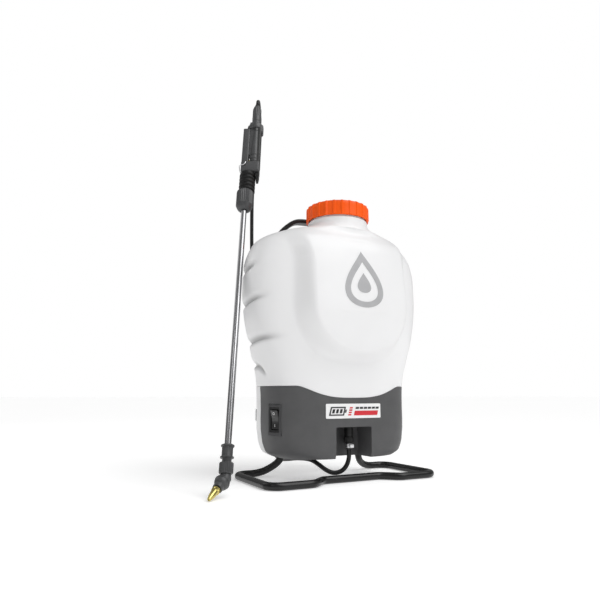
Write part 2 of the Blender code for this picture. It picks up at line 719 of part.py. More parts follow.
def make_straps():
    for side, label in ((-1, "left"), (1, "right")):
        knots = [(0.050, 0.1800, 0.4930), (0.053, 0.1900, 0.4780), (0.058, 0.2080, 0.4400), (0.066, 0.2240, 0.3850)]
        knots += [(0.075, 0.2310, 0.3250), (0.084, 0.2270, 0.2700)]
        path = smooth_route([(side * x, y, z) for x, y, z in knots], 0.020)
        sweep(f"shoulder_strap_{label}", path, strap_section(0.058, 0.013), "fabric_black", up=(0, 1, 0.3))
        block(
            f"buckle_{label}",
            (side * 0.0865 - 0.017, 0.2140, 0.2360),
            (side * 0.0865 + 0.017, 0.2290, 0.2600),
            "trim_black",
            bevel=0.003,
        )
        knots = [(0.0885, 0.2195, 0.2322), (0.094, 0.2150, 0.2100), (0.103, 0.2000, 0.1700), (0.111, 0.1840, 0.1400)]
        path = smooth_route([(side * x, y, z) for x, y, z in knots], 0.012)
        sweep(f"webbing_{label}", path, strap_section(0.025, 0.0026), "fabric_black", up=(0, 1, 0.3))
        x = side * 0.1130
        block(f"strap_anchor_{label}", (x - 0.016, 0.1665, 0.1120), (x + 0.016, 0.1850, 0.1388), "trim_black", bevel=0.003)
    block("back_pad", (-0.094, 0.1684, 0.222), (0.094, 0.1870, 0.400), "fabric_black", bevel=0.006)


# ---------------------------------------------------------------- wand


def make_wand():
    steel = [(0.0045, 0.0305), (WAND_TUBE_R, 0.0305), (WAND_TUBE_R, 0.5750), (0.0045, 0.5750)]
    turned("wand_tube", steel, "steel", wand_frame, 20, ring=True)

    clear = WAND_TUBE_R + GAP
    collar = [(clear, 0.0302), (0.0040, 0.0302), (0.0040, 0.0095), (0.0081, 0.0095), (0.0081, 0.0158)]
    collar += [(0.0120, 0.0164), (0.0120, 0.0186), (0.0096, 0.0194), (0.0096, 0.0352), (0.0118, 0.0360)]
    collar += [(0.0118, 0.0384), (0.0100, 0.0394), (clear, 0.0394)]
    turned("wand_collar", collar, "fitting_grey", wand_frame, 16, ring=True)

    nut = [(0.0086, 0.0091), (0.0118, 0.0085), (0.0124, 0.0070), (0.0124, -0.0080), (0.0112, -0.0102)]
    nut += [(0.0045, -0.0102), (0.0045, -0.0090), (0.0086, -0.0088)]
    turned("elbow_nut", nut, "fitting_grey", wand_frame, 16, ring=True)


def make_elbow_and_nozzle():
    """The 45 degree elbow and its brass nozzle, about the nozzle's own axis."""
    start = [(0, -0.0106), (0.0092, -0.0106), (0.0098, -0.0200), (0.0060, -0.0270), (0, -0.0290)]
    elbow = turned("elbow", start, "fitting_grey", wand_frame, 20)
    ball = [(0.0132 * math.sin(math.pi * i / 8), -0.0132 * math.cos(math.pi * i / 8)) for i in range(9)]
    ball[0], ball[-1] = (0, -0.0132), (0, 0.0132)
    knob = turned("elbow_ball", ball, "fitting_grey", nozzle_frame, 20, Matrix.Translation((0, 0, 0.0010)))
    mouth = rod("elbow_mouth", (0, 0, 0.0), (0, 0, 0.0185), 0.0088, "fitting_grey", nozzle_frame, 20)
    join(elbow, knob, mouth)
    seat = [(0.0035, 0.0189), (0.0064, 0.0189), (0.0064, 0.0203), (0.0035, 0.0203)]
    turned("nozzle_ring", seat, "rubber_black", nozzle_frame, 16, ring=True)
    profile = [(0.0012, 0.0206), (0.0068, 0.0206), (0.0072, 0.0220), (0.0072, 0.0262), (0.0060, 0.0272)]
    profile += [(0.0060, 0.0300), (0.0054, 0.0380), (0.0040, 0.0440), (0.0026, 0.0480), (0.0012, 0.0480)]
    turned("nozzle", profile, "brass", nozzle_frame, 20, ring=True)


def make_handle():
    nut = [(0.0064, 0.5580), (0.0100, 0.5580), (0.0150, 0.5625), (0.0178, 0.5690), (0.0188, 0.5710)]
    nut += [(0.0188, 0.6080), (0.0176, 0.6098), (0.0120, 0.6098), (0.0120, 0.5760), (0.0064, 0.5740)]
    turned("wand_nut", nut, "fitting_grey", wand_frame, 16, ring=True)

    ribs = [(0.0, 0.6102), (0.0150, 0.6102)]
    for i in range(5):
        low = 0.6110 + 0.0108 * i
        ribs += [(0.0182, low), (0.0182, low + 0.0060), (0.0158, low + 0.0066), (0.0158, low + 0.0102)]
    ribs += [(0.0150, 0.6655), (0.0, 0.6655)]
    turned("ribbed_sleeve", ribs, "rubber_black", wand_frame, 16, Matrix.Translation((0.003, 0, 0)))

    body = block("handle_body", (0.0175, -0.0112, 0.6800), (0.0315, 0.0112, 0.8250), "fitting_grey", wand_frame, 0.004)
    head = block("handle_head", (-0.0130, -0.0135, 0.6660), (0.0292, 0.0135, 0.6960), "fitting_grey", wand_frame, 0.003)
    web = block("handle_web", (0.0062, -0.0068, 0.6800), (0.0250, 0.0068, 0.8250), "fitting_grey", wand_frame, 0.001)
    collar = [(0, 0.8160), (0.0130, 0.8160), (0.0155, 0.8190), (0.0155, 0.8290), (0.0135, 0.8340), (0, 0.8340)]
    crown = turned("handle_collar", collar, "fitting_grey", wand_frame, 6, Matrix.Translation((GRIP_X + 0.0005, 0, 0)))
    join(body, head, web, crown)
    lever_slot = block("lever_slot", (-0.03, -0.0100, 0.6740), (0.0048, 0.0100, 0.72), "fitting_grey", wand_frame)
    foot = PLUNGER_FOOT
    valve_bore = rod("valve_bore", foot, foot + Vector((0.0290, 0, 0)), 0.0040, "fitting_grey", wand_frame, 16)
    x, z = TRIGGER_PIVOT.x, TRIGGER_PIVOT.z
    pin_bore = rod("pin_bore", (x, -0.0134, z), (x, 0.0134, z), 0.0019, "fitting_grey", wand_frame, 12)
    cut(body, lever_slot, valve_bore, pin_bore)


def make_trigger():
    """A channel-shaped lever over the casing's front, its pin, the valve's plunger and the lock clip."""
    x, z = TRIGGER_PIVOT.x, TRIGGER_PIVOT.z
    lever = block("trigger_lever", (-0.0130, -0.0094, 0.6765), (0.0030, 0.0094, 0.8130), "fitting_grey", pivot_frame, 0.002)
    channel = block("lever_channel", (-0.0102, -0.0078, 0.6905), (0.02, 0.0078, 0.84), "fitting_grey", pivot_frame)
    bore = rod("lever_bore", (x, -0.02, z), (x, 0.02, z), 0.0019, "fitting_grey", pivot_frame, 12)
    cut(lever, channel, bore)
    for thing in (lever, channel, bore):
        thing.matrix_basis = Matrix.Translation(-TRIGGER_PIVOT) @ thing.matrix_basis
    rod("trigger_pin", (x, -0.0130, z), (x, 0.0130, z), 0.0016, "steel", wand_frame, 12)

    stem = [(0, 0), (0.0022, 0), (0.0022, 0.0110), (0.0034, 0.0112), (0.0034, 0.0160), (0, 0.0160)]
    place = Matrix.Translation(PLUNGER_FOOT) @ Matrix.Rotation(math.pi / 2, 4, "Y")
    turned("valve_plunger", stem, "brass", wand_frame, 12, place)

    wire = [(0, -0.0160, 0), (-0.0010, -0.0160, -0.0045), (-0.0060, -0.0160, -0.0090), (-0.0118, -0.0146, -0.0095)]
    wire += [(-0.0145, -0.0100, -0.0092), (-0.0150, 0, -0.0090)]
    wire += [(x, -y, z) for x, y, z in reversed(wire[:-1])]
    sweep("lock_clip", smooth_route(wire, 0.003), round_section(0.0011, 8), "steel", clip_frame, up=(1, 0, 0))


def make_hose_end():
    x = GRIP_X
    nut = [(0.0052, 0.8344), (0.0098, 0.8344), (0.0107, 0.8360), (0.0107, 0.8830), (0.0095, 0.8850)]
    nut += [(0.0062, 0.8930), (0.0052, 0.8930)]
    place = Matrix.Translation((x, 0, 0))
    turned("hose_nut", nut, "fitting_grey", wand_frame, 20, place, ring=True)
    relief = [(0.0, 0.8500), (0.0048, 0.8500), (0.0048, 0.8934), (0.0064, 0.8934), (0.0060, 0.8975), (0, 0.8975)]
    turned("hose_relief", relief, "rubber_black", wand_frame, 16, place)


def main():
    make_tank()
    make_housings()
    make_cap()
    make_strainer()
    make_stand()
    make_switch()
    make_battery()
    make_pump()
    make_wiring()
    make_outlet()
    make_trim()
    make_carry_handle()
    make_straps()
    make_wand()
    make_elbow_and_nozzle()
    make_handle()
    make_trigger()
    make_hose_end()
    tube_curve("hose", smooth_route(HOSE_ROUTE, 0.0215), HOSE_R, "rubber_black", 2)


clear_scene()
switch_frame = add_empty("switch_frame", Matrix.Translation(SWITCH_CENTRE) @ Matrix.Rotation(SWITCH_TURN, 4, "Z"))
rocker_frame = add_empty("rocker_frame", Matrix.Translation((ROCKER_DEPTH, 0, 0)), switch_frame)
wand_place = Matrix.Translation(WAND_FOOT) @ Matrix.Rotation(WAND_HEADING, 4, "Z") @ Matrix.Rotation(-WAND_LEAN, 4, "X")
wand_frame = add_empty("wand_frame", wand_place)
pivot_frame = add_empty("pivot_frame", Matrix.Translation(TRIGGER_PIVOT), wand_frame)
clip_frame = add_empty("clip_frame", Matrix.Translation(CLIP_PIVOT), wand_frame)
elbow_centre = wand_place @ Vector((-0.0050, 0, -0.0235))
nozzle_turn = Vector(NOZZLE_HEADING).normalized().to_track_quat("Z", "Y").to_matrix().to_4x4()
nozzle_frame = add_empty("nozzle_frame", Matrix.Translation(elbow_centre) @ nozzle_turn)
main()
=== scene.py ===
import json
from math import copysign, cos, exp, pi, radians, sin

import bmesh
import bpy
import numpy as np
from mathutils import Matrix, Vector


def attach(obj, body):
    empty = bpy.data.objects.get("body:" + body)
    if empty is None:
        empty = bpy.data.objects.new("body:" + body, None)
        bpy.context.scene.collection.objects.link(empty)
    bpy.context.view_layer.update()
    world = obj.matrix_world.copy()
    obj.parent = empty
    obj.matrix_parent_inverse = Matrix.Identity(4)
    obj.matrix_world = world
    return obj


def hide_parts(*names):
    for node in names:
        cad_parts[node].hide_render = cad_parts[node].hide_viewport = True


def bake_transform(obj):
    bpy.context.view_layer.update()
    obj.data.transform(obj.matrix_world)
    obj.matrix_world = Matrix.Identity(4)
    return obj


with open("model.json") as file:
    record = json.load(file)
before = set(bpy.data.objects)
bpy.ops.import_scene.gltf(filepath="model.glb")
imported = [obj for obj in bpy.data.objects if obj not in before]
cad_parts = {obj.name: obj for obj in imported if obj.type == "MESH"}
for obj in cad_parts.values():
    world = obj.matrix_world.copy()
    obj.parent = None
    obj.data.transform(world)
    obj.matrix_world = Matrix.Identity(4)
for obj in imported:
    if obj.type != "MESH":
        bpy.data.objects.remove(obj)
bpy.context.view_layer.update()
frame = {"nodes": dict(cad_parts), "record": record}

RECORD = frame["record"]
BODY_OF = {node: body for body, nodes in RECORD["behaviour"]["bodies"].items() for node in nodes}
SLOT_OF = {part["node"]: part["material_slot"] for part in RECORD["subparts"]}

# ------------------------------------------------------------------ materials

ROUGH_SPREAD = 0.06
WAVE_PERIOD = 0.314  # metres between the bands of a wave texture of scale 1


def set_inputs(node, **values):
    """Sets a node's inputs. An underscore in a name stands for a space."""
    for name, value in values.items():
        node.inputs[name.replace("_", " ")].default_value = value


def shader(name, colour, rough, metal=0.0, **more):
    """A Principled material whose colour, roughness and bump vary with noise at stated scales.

    more: mottle (scale, amount), grain (scale, depth in metres), shine, coat, sheen, weave (pitch, depth),
    brushed (direction of the fine lines), subsurface, crease (share of the colour taken away in pressed
    grooves as painted shade).
    """
    made = bpy.data.materials.new(name)
    made.use_nodes = True
    nodes, links = made.node_tree.nodes, made.node_tree.links
    out = nodes["Principled BSDF"]
    set_inputs(out, Roughness=rough, Metallic=metal, Specular_IOR_Level=more.get("shine", 0.5))
    set_inputs(out, Coat_Weight=more.get("coat", 0.0), Coat_Roughness=0.12)
    set_inputs(out, Sheen_Weight=more.get("sheen", 0.0), Sheen_Roughness=0.5)
    set_inputs(out, Subsurface_Weight=more.get("subsurface", 0.0), Subsurface_Scale=0.3)
    set_inputs(out, Subsurface_Radius=(0.02, 0.02, 0.02))
    coords = nodes.new("ShaderNodeTexCoord")

    def noise(scale, detail, stretch=None):
        made_noise = nodes.new("ShaderNodeTexNoise")
        set_inputs(made_noise, Scale=scale, Detail=detail)
        place = coords.outputs["Object"]
        if stretch is not None:
            mapping = nodes.new("ShaderNodeMapping")
            set_inputs(mapping, Scale=stretch)
            links.new(place, mapping.inputs["Vector"])
            place = mapping.outputs["Vector"]
        links.new(place, made_noise.inputs["Vector"])
        return made_noise.outputs["Fac"]

    scale, amount = more.get("mottle", (18.0, 0.06))
    blend = nodes.new("ShaderNodeValToRGB")
    for stop, position, share in zip(blend.color_ramp.elements, (0.35, 0.65), (1 - amount, 1 + amount)):
        stop.color = (*(min(1.0, c * share) for c in colour), 1.0)
        stop.position = position
    links.new(noise(scale, 4.0), blend.inputs["Fac"])
    tint = blend.outputs["Color"]
    # Painted shade: the crease attribute darkens the base colour in the pressed grooves, standing in for the
    # shade that falls there.
    if "crease" in more:
        painted_groove_shade = nodes.new("ShaderNodeAttribute")
        painted_groove_shade.attribute_name = "crease"
        kept = nodes.new("ShaderNodeMath")
        kept.operation = "MULTIPLY_ADD"
        kept.inputs[1].default_value = -more["crease"]
        kept.inputs[2].default_value = 1.0
        links.new(painted_groove_shade.outputs["Fac"], kept.inputs[0])
        darker = nodes.new("ShaderNodeVectorMath")
        darker.operation = "SCALE"
        links.new(tint, darker.inputs[0])
        links.new(kept.outputs["Value"], darker.inputs["Scale"])
        tint = darker.outputs["Vector"]
    links.new(tint, out.inputs["Base Color"])

    levels = nodes.new("ShaderNodeMapRange")
    set_inputs(levels, To_Min=max(0.02, rough - ROUGH_SPREAD), To_Max=rough + ROUGH_SPREAD)
    stretch = more.get("brushed")
    links.new(noise(scale * 5, 6.0, stretch), levels.inputs["Value"])
    links.new(levels.outputs["Result"], out.inputs["Roughness"])

    grain_scale, depth = more.get("grain", (900.0, 0.00004))
    bump = nodes.new("ShaderNodeBump")
    set_inputs(bump, Strength=0.5, Distance=depth)
    links.new(noise(grain_scale, 3.0, stretch), bump.inputs["Height"])
    last = bump
    if "weave" in more:
        pitch, weave_depth = more["weave"]
        mixed = nodes.new("ShaderNodeMath")
        mixed.operation = "MAXIMUM"
        for index, direction in enumerate("XZ"):
            wave = nodes.new("ShaderNodeTexWave")
            wave.bands_direction = direction
            set_inputs(wave, Scale=WAVE_PERIOD / pitch, Distortion=0.6, Detail_Scale=3.0)
            links.new(coords.outputs["Object"], wave.inputs["Vector"])
            links.new(wave.outputs["Fac"], mixed.inputs[index])
        last = nodes.new("ShaderNodeBump")
        set_inputs(last, Strength=0.8, Distance=weave_depth)
        links.new(mixed.outputs["Value"], last.inputs["Height"])
        links.new(bump.outputs["Normal"], last.inputs["Normal"])
    links.new(last.outputs["Normal"], out.inputs["Normal"])
    return made


def grey(level, blue=0.0):
    return level, level, level + blue


M = {
    # The tank's crease=0.5 takes up to half its colour away in the pressed grooves as painted shade.
    "tank": shader(
        "hdpe_white", grey(0.83, 0.005), 0.36, mottle=(9, 0.012), grain=(420, 0.00006),
        subsurface=0.08, coat=0.12, crease=0.5
    ),
    "housing": shader(
        "housing_grey", grey(0.078, 0.002), 0.46, mottle=(30, 0.06), grain=(1500, 0.00008), shine=0.4
    ),
    "bezel": shader(
        "bezel_grey", grey(0.05, 0.002), 0.42, mottle=(40, 0.08), grain=(1500, 0.00006), shine=0.4
    ),
    "cap": shader(
        "cap_orange", (0.96, 0.105, 0.0), 0.42, mottle=(25, 0.05), grain=(1100, 0.00005), shine=0.28
    ),
    "stand": shader("stand_paint", grey(0.006), 0.24, mottle=(40, 0.15), grain=(500, 0.0001), shine=0.38),
    "trim": shader("trim_black", grey(0.009), 0.36, shine=0.35, mottle=(40, 0.12), grain=(1400, 0.00008)),
    "gloss": shader("switch_gloss", grey(0.01), 0.16, mottle=(40, 0.1), grain=(1400, 0.00002), coat=0.5),
    "rubber": shader("rubber_black", grey(0.006), 0.5, mottle=(60, 0.15), grain=(1700, 0.0001), shine=0.25),
    "hose": shader("hose_black", grey(0.007), 0.34, shine=0.35, mottle=(50, 0.12), grain=(900, 0.00006)),
    "fitting": shader(
        "fitting_grey", (0.058, 0.059, 0.061), 0.36, shine=0.4, mottle=(45, 0.08), grain=(1500, 0.00007)
    ),
    "seal": shader("seal_grey", grey(0.1), 0.6),
    "steel": shader(
        "tube_steel", grey(0.36, 0.01), 0.16, 1.0, mottle=(60, 0.05), grain=(300, 0.00002),
        brushed=(1, 1, 0.03)
    ),
    "zinc": shader("zinc_plate", grey(0.72, 0.01), 0.28, 1.0, mottle=(120, 0.1), grain=(700, 0.00003)),
    "brass": shader("brass", (0.56, 0.47, 0.16), 0.15, 1.0, mottle=(120, 0.08), grain=(900, 0.00002)),
    "bright": shader("mark_white", grey(0.8), 0.35, mottle=(60, 0.03)),
    "label": shader("label_film", grey(0.86), 0.3, mottle=(60, 0.02), grain=(900, 0.00001), coat=0.3),
    "ink": shader("ink_dark", grey(0.018, 0.002), 0.35, mottle=(90, 0.08)),
    "red": shader("ink_red", (0.6, 0.018, 0.03), 0.35, mottle=(90, 0.06)),
    "mark": shader("mark_grey", grey(0.41, 0.01), 0.42, mottle=(60, 0.03)),
    "clear": shader("clear_line", (0.62, 0.66, 0.67), 0.2, coat=0.4),
    "fabric": shader(
        "fabric_black", grey(0.016, 0.001), 0.82, mottle=(30, 0.18), weave=(0.0011, 0.00022), sheen=0.25
    ),
    "mesh": shader(
        "spacer_mesh", grey(0.022, 0.002), 0.88, mottle=(30, 0.18), weave=(0.0028, 0.0006), sheen=0.3
    ),
    "web": shader(
        "webbing_black", grey(0.014, 0.001), 0.7, mottle=(40, 0.15), weave=(0.0016, 0.0004), sheen=0.2
    ),
    "thread": shader("thread_grey", grey(0.07, 0.002), 0.75, mottle=(400, 0.2), grain=(3000, 0.0001)),
}
# A slot's look is the first word of its name, such as trim for trim_black.
for node, slot in SLOT_OF.items():
    for index in range(len(frame["nodes"][node].material_slots)):
        frame["nodes"][node].material_slots[index].material = M[slot.split("_")[0]]

# ------------------------------------------------------------------ shape helpers

SHARP = radians(35)


def place_in_scene(name, data):
    made = bpy.data.objects.new(name, data)
    bpy.context.scene.collection.objects.link(made)
    return made


def link(name, bm, look, matrix=None, angle=SHARP):
    """Makes an object whose vertices are already in the shared frame."""
    if matrix is not None:
        bmesh.ops.transform(bm, matrix=matrix, verts=bm.verts)
    bmesh.ops.recalc_face_normals(bm, faces=bm.faces)
    mesh = bpy.data.meshes.new(name)
    bm.to_mesh(mesh)
    bm.free()
    mesh.shade_smooth()
    mesh.set_sharp_from_angle(angle=angle)
    mesh.materials.append(M[look])
    return place_in_scene(name, mesh)


def stands_for(piece, *nodes):
    """The piece replaces CAD nodes and moves with their body."""
    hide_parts(*nodes)
    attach(piece, BODY_OF[nodes[0]])
    return piece


def extra(piece, body):
    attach(piece, body)
    return piece


def bake(thing):
    """Applies the object's modifiers to its mesh."""
    graph = bpy.context.evaluated_depsgraph_get()
    mesh = bpy.data.meshes.new_from_object(thing.evaluated_get(graph))
    thing.modifiers.clear()
    thing.data = mesh
    return thing


def carve(thing, *others, operation="DIFFERENCE"):
    """Cuts the other objects out of the thing, or joins them to it, and removes them."""
    for other in others:
        step = thing.modifiers.new("cut", "BOOLEAN")
        step.operation = operation
        step.solver = "EXACT"
        step.material_mode = "TRANSFER"
        step.object = other
    bake(thing)
    for other in others:
        bpy.data.objects.remove(other)
    thing.data.shade_smooth()
    thing.data.set_sharp_from_angle(angle=SHARP)
    return thing


def block(name, low, high, look, bevel=0.0, segments=3, matrix=None):
    low, high = Vector(low), Vector(high)
    bm = bmesh.new()
    bmesh.ops.create_cube(bm, size=1.0)
    bmesh.ops.scale(bm, vec=high - low, verts=bm.verts)
    bmesh.ops.translate(bm, vec=(low + high) / 2, verts=bm.verts)
    if bevel:
        bmesh.ops.bevel(bm, geom=bm.edges[:], offset=bevel, segments=segments, profile=0.6, affect="EDGES")
    return link(name, bm, look, matrix)


def slab(name, outline, half, bevel, look, matrix):
    """A flat piece with an (x, z) outline, from y = -half to half, with softened edges."""
    centre = Vector((sum(x for x, z in outline), 0, sum(z for x, z in outline))) / len(outline)
    rows = []
    for side in (-1, 1):
        for inset in (bevel, bevel * 0.3, 0)[::-side]:
            y = side * (half - (bevel * 0.3 if inset == bevel * 0.3 else bevel - inset))
            row = []
            for x, z in outline:
                point = Vector((x, 0, z))
                inward = (centre - point).normalized() * inset
                row.append(Vector((point.x + inward.x, y, point.z + inward.z)))
            rows.append(row)
    return closed_form(name, rows, look, matrix)


def grid_bmesh(rows, closed_ends=False):
    """Quads between rings of points. Closed ends are filled with a fan."""
    bm = bmesh.new()
    made = [[bm.verts.new(p) for p in row] for row in rows]
    count = len(made[0])
    for lower, upper in zip(made, made[1:]):
        for i in range(count):
            j = (i + 1) % count
            bm.faces.new((lower[i], lower[j], upper[j], upper[i]))
    for row in (made[0], made[-1]) if closed_ends else ():
        centre = bm.verts.new(sum((v.co for v in row), Vector()) / count)
        for i in range(count):
            bm.faces.new((row[i], row[(i + 1) % count], centre))
    return bm


def closed_form(name, rows, look, matrix=None, angle=SHARP):
    """A closed surface through rings of points."""
    return link(name, grid_bmesh([[Vector(p) for p in row] for row in rows], True), look, matrix, angle)


def turned(name, profile, look, matrix=None, segments=64, ring=False, wobble=None, angle=SHARP):
    """Turns (radius, height) points about local Z. wobble(angle, index) adds to the radius."""
    profile = list(profile)
    if ring:
        profile.append(profile[0])
    rows = []
    for index, (r, z) in enumerate(profile):
        row = []
        for i in range(segments):
            turn = 2 * pi * i / segments
            reach = max(r, 1e-5) + (wobble(turn, index) if wobble else 0.0)
            row.append(Vector((reach * cos(turn), reach * sin(turn), z)))
        rows.append(row)
    bm = grid_bmesh(rows)
    bmesh.ops.remove_doubles(bm, verts=bm.verts, dist=3e-5)
    return link(name, bm, look, matrix, angle)


def soft_profile(points, radius):
    """Rounds the corners of an open (radius, height) profile."""
    out = [points[0]]
    for a, b, c in zip(points, points[1:], points[2:]):
        va, vb, vc = Vector(a), Vector(b), Vector(c)
        size = min(radius, (va - vb).length * 0.45, (vc - vb).length * 0.45)
        if size < 1e-5 or b[0] <= 0:
            out.append(b)
            continue
        start = vb + (va - vb).normalized() * size
        end = vb + (vc - vb).normalized() * size
        for t in (0, 1 / 3, 2 / 3, 1):
            out.append(tuple((1 - t) ** 2 * start + 2 * t * (1 - t) * vb + t * t * end))
    out.append(points[-1])
    return out


def smooth_route(knots, spacing):
    p = np.array(knots, float)
    p = np.vstack([2 * p[0] - p[1], p, 2 * p[-1] - p[-2]])
    fine = []
    for a, b, c, d in zip(p, p[1:], p[2:], p[3:]):
        for t in np.linspace(0, 1, 24, endpoint=False):
            t2, t3 = t * t, t * t * t
            curved = (2 * a - 5 * b + 4 * c - d) * t2 + (3 * b - a - 3 * c + d) * t3
            fine.append(0.5 * (2 * b + (c - a) * t + curved))
    fine.append(p[-2])
    fine = np.array(fine)
    run = np.concatenate([[0], np.cumsum(np.linalg.norm(np.diff(fine, axis=0), axis=1))])
    count = max(2, round(run[-1] / spacing) + 1)
    at = np.linspace(0, run[-1], count)
    return np.stack([np.interp(at, run, fine[:, k]) for k in range(3)], 1)


def sweep(name, path, section, look, up=(0, 0, 1), keep_up=0, matrix=None):
    """Carries a section of (side, up) points along a path, turning as little as it can."""
    path = [Vector(p) for p in path]
    last = len(path) - 1
    tangents = [(path[min(i + 1, last)] - path[max(i - 1, 0)]).normalized() for i in range(last + 1)]
    ups = [None] * len(path)
    ups[keep_up] = (Vector(up) - Vector(up).dot(tangents[keep_up]) * tangents[keep_up]).normalized()
    for i in range(keep_up + 1, len(path)):
        ups[i] = tangents[i - 1].rotation_difference(tangents[i]) @ ups[i - 1]
    for i in range(keep_up - 1, -1, -1):
        ups[i] = tangents[i + 1].rotation_difference(tangents[i]) @ ups[i + 1]
    rows = []
    for point, tangent, high in zip(path, tangents, ups):
        side = tangent.cross(high).normalized()
        rows.append([point + side * s + high * h for s, h in section])
    return closed_form(name, rows, look, matrix)


def circle(radius, sides):
    turns = [2 * pi * i / sides for i in range(sides)]
    return [(radius * cos(turn), radius * sin(turn)) for turn in turns]


def oval(width, thickness, sides, square):
    """A flattened circle. A higher square makes its corners tighter."""
    def bulge(share):
        return copysign(abs(share) ** (2 / square), share)

    return [(width / 2 * bulge(x), thickness / 2 * bulge(z)) for x, z in circle(1.0, sides)]


# ------------------------------------------------------------------ camera, floor and light

CAMERA_AT, CAMERA_LOOKS_UP, CAMERA_TURN = (-0.6137, -0.9492, 0.169), 9.8, -27.71
WHITE = (1.0, 1.0, 1.0, 1.0)


def aim(lamp, direction):
    lamp.rotation_euler = direction.to_track_quat("-Z", "Y").to_euler()


camera_data = bpy.data.cameras.new("camera")
camera_data.lens = 32.9
camera_data.sensor_width = 36.0
camera_data.clip_start = 0.01
camera = place_in_scene("camera", camera_data)
camera.location = CAMERA_AT
camera.rotation_euler = (radians(90 + CAMERA_LOOKS_UP), 0.0, radians(CAMERA_TURN))
bpy.context.scene.camera = camera


def area_light(name, place, target, size, power):
    data = bpy.data.lights.new(name, "AREA")
    data.shape = "RECTANGLE"
    data.size, data.size_y = size
    data.energy = power
    lamp = place_in_scene(name, data)
    lamp.location = place
    aim(lamp, Vector(target) - Vector(place))


area_light("key", (0.9, -2.3, 1.5), (0, 0, 0.35), (0.9, 1.9), 8)
area_light("left", (-2.3, -1.0, 2.1), (-0.1, 0, 0.35), (0.7, 0.7), 3)
area_light("rim", (-1.3, 1.6, 1.5), (0, 0, 0.5), (1.2, 1.2), 4)
sun_data = bpy.data.lights.new("sun", "SUN")
sun_data.energy = 1.5
sun_data.angle = radians(50)
aim(place_in_scene("sun", sun_data), Vector((-0.42, 0.62, -1.25)))

world = bpy.data.worlds.new("world")
bpy.context.scene.world = world
world.use_nodes = True
w_nodes, w_links = world.node_tree.nodes, world.node_tree.links
w_coords = w_nodes.new("ShaderNodeTexCoord")
w_parts = w_nodes.new("ShaderNodeSeparateXYZ")
w_range = w_nodes.new("ShaderNodeMapRange")
w_path = w_nodes.new("ShaderNodeLightPath")
w_mix = w_nodes.new("ShaderNodeMix")
FRONT_GLOW, BACK_GLOW = 0.46, 0.24
set_inputs(w_range, From_Min=-1.0, From_Max=1.0, To_Min=FRONT_GLOW, To_Max=BACK_GLOW)
w_links.new(w_coords.outputs["Generated"], w_parts.inputs["Vector"])
w_links.new(w_parts.outputs["Y"], w_range.inputs["Value"])
w_links.new(w_path.outputs["Is Camera Ray"], w_mix.inputs["Factor"])
w_links.new(w_range.outputs["Result"], w_mix.inputs["A"])
set_inputs(w_mix, B=1.0)
w_links.new(w_mix.outputs["Result"], w_nodes["Background"].inputs["Strength"])
set_inputs(w_nodes["Background"], Color=WHITE)
bpy.context.scene.view_settings.view_transform = "Standard"

floor_bm = bmesh.new()
bmesh.ops.create_grid(floor_bm, x_segments=8, y_segments=8, size=40.0)
floor = link("floor", floor_bm, "bright")
floor.location.z = -0.0003
floor.data.materials[0] = shader("floor_pale", grey(0.9), 0.75, mottle=(2, 0.004), grain=(200, 0.00001))
floor_shader = floor.data.materials[0].node_tree.nodes["Principled BSDF"]
set_inputs(floor_shader, Emission_Color=WHITE, Emission_Strength=0.33)

# ------------------------------------------------------------------ tank form

# height, half width, front, back and squareness of the body
LEVELS = np.array([
    (0.0460, 0.1280, -0.0090, 0.1640, 3.0),
    (0.0520, 0.1410, -0.0108, 0.1675, 3.1),
    (0.0650, 0.1500, -0.0120, 0.1695, 3.2),
    (0.0900, 0.1560, -0.0125, 0.1700, 3.2),
    (0.1500, 0.1580, -0.0125, 0.1700, 3.2),
    (0.1860, 0.1600, -0.0135, 0.1695, 3.1),
    (0.2100, 0.1640, -0.0155, 0.1680, 3.0),
    (0.2400, 0.1730, -0.0190, 0.1670, 2.9),
    (0.2800, 0.1850, -0.0242, 0.1660, 2.8),
    (0.3200, 0.1955, -0.0252, 0.1660, 2.7),
    (0.3600, 0.2005, -0.0254, 0.1660, 2.7),
    (0.4000, 0.2015, -0.0254, 0.1660, 2.65),
    (0.4400, 0.1988, -0.0250, 0.1646, 2.6),
    (0.4700, 0.1880, -0.0229, 0.1611, 2.5),
    (0.4850, 0.1780, -0.0190, 0.1595, 2.4),
    (0.4930, 0.1670, -0.0155, 0.1545, 2.35),
    (0.5000, 0.1520, -0.0130, 0.1470, 2.3),
    (0.5060, 0.1320, -0.0130, 0.1360, 2.2),
    (0.5110, 0.1080, -0.0140, 0.1230, 2.1),
    (0.5150, 0.0860, -0.0190, 0.1120, 2.0),
])
# height, and how far the raised panel stands out there
LIFT = np.array([
    (0.228, 0.0), (0.24, 0.02), (0.26, 0.0295), (0.28, 0.0335), (0.33, 0.038), (0.39, 0.034),
    (0.44, 0.027), (0.47, 0.021), (0.5, 0.013), (0.515, 0.009), (0.525, 0.0),
])
SHIELD_HALF, SHIELD_MID, SHIELD_DROP = 0.106, 0.36, 0.104
LINE_Z, FOLD_Z = 0.331, 0.481
SHOULDER_Z, WALL = 0.5126, 0.0135
SEAM_Z, SEAM_DIP, SEAM_HALF, SPLIT_Y = 0.186, 0.023, 0.12, 0.09
NECK_Y, NECK_R, CAP_RIM = 0.042, 0.0645, 0.5407
# each groove's line as (y, height) points, from the back to its front end
GROOVES = [
    [(0.165, 0.406), (0.11, 0.416), (0.024, 0.43)],
    [(0.165, 0.339), (0.111, 0.347), (0.004, 0.362)],
    [(0.165, 0.266), (0.1, 0.274), (-0.01, 0.282)],
    [(0.14, 0.232), (0.085, 0.226), (0.048, 0.205)],
]


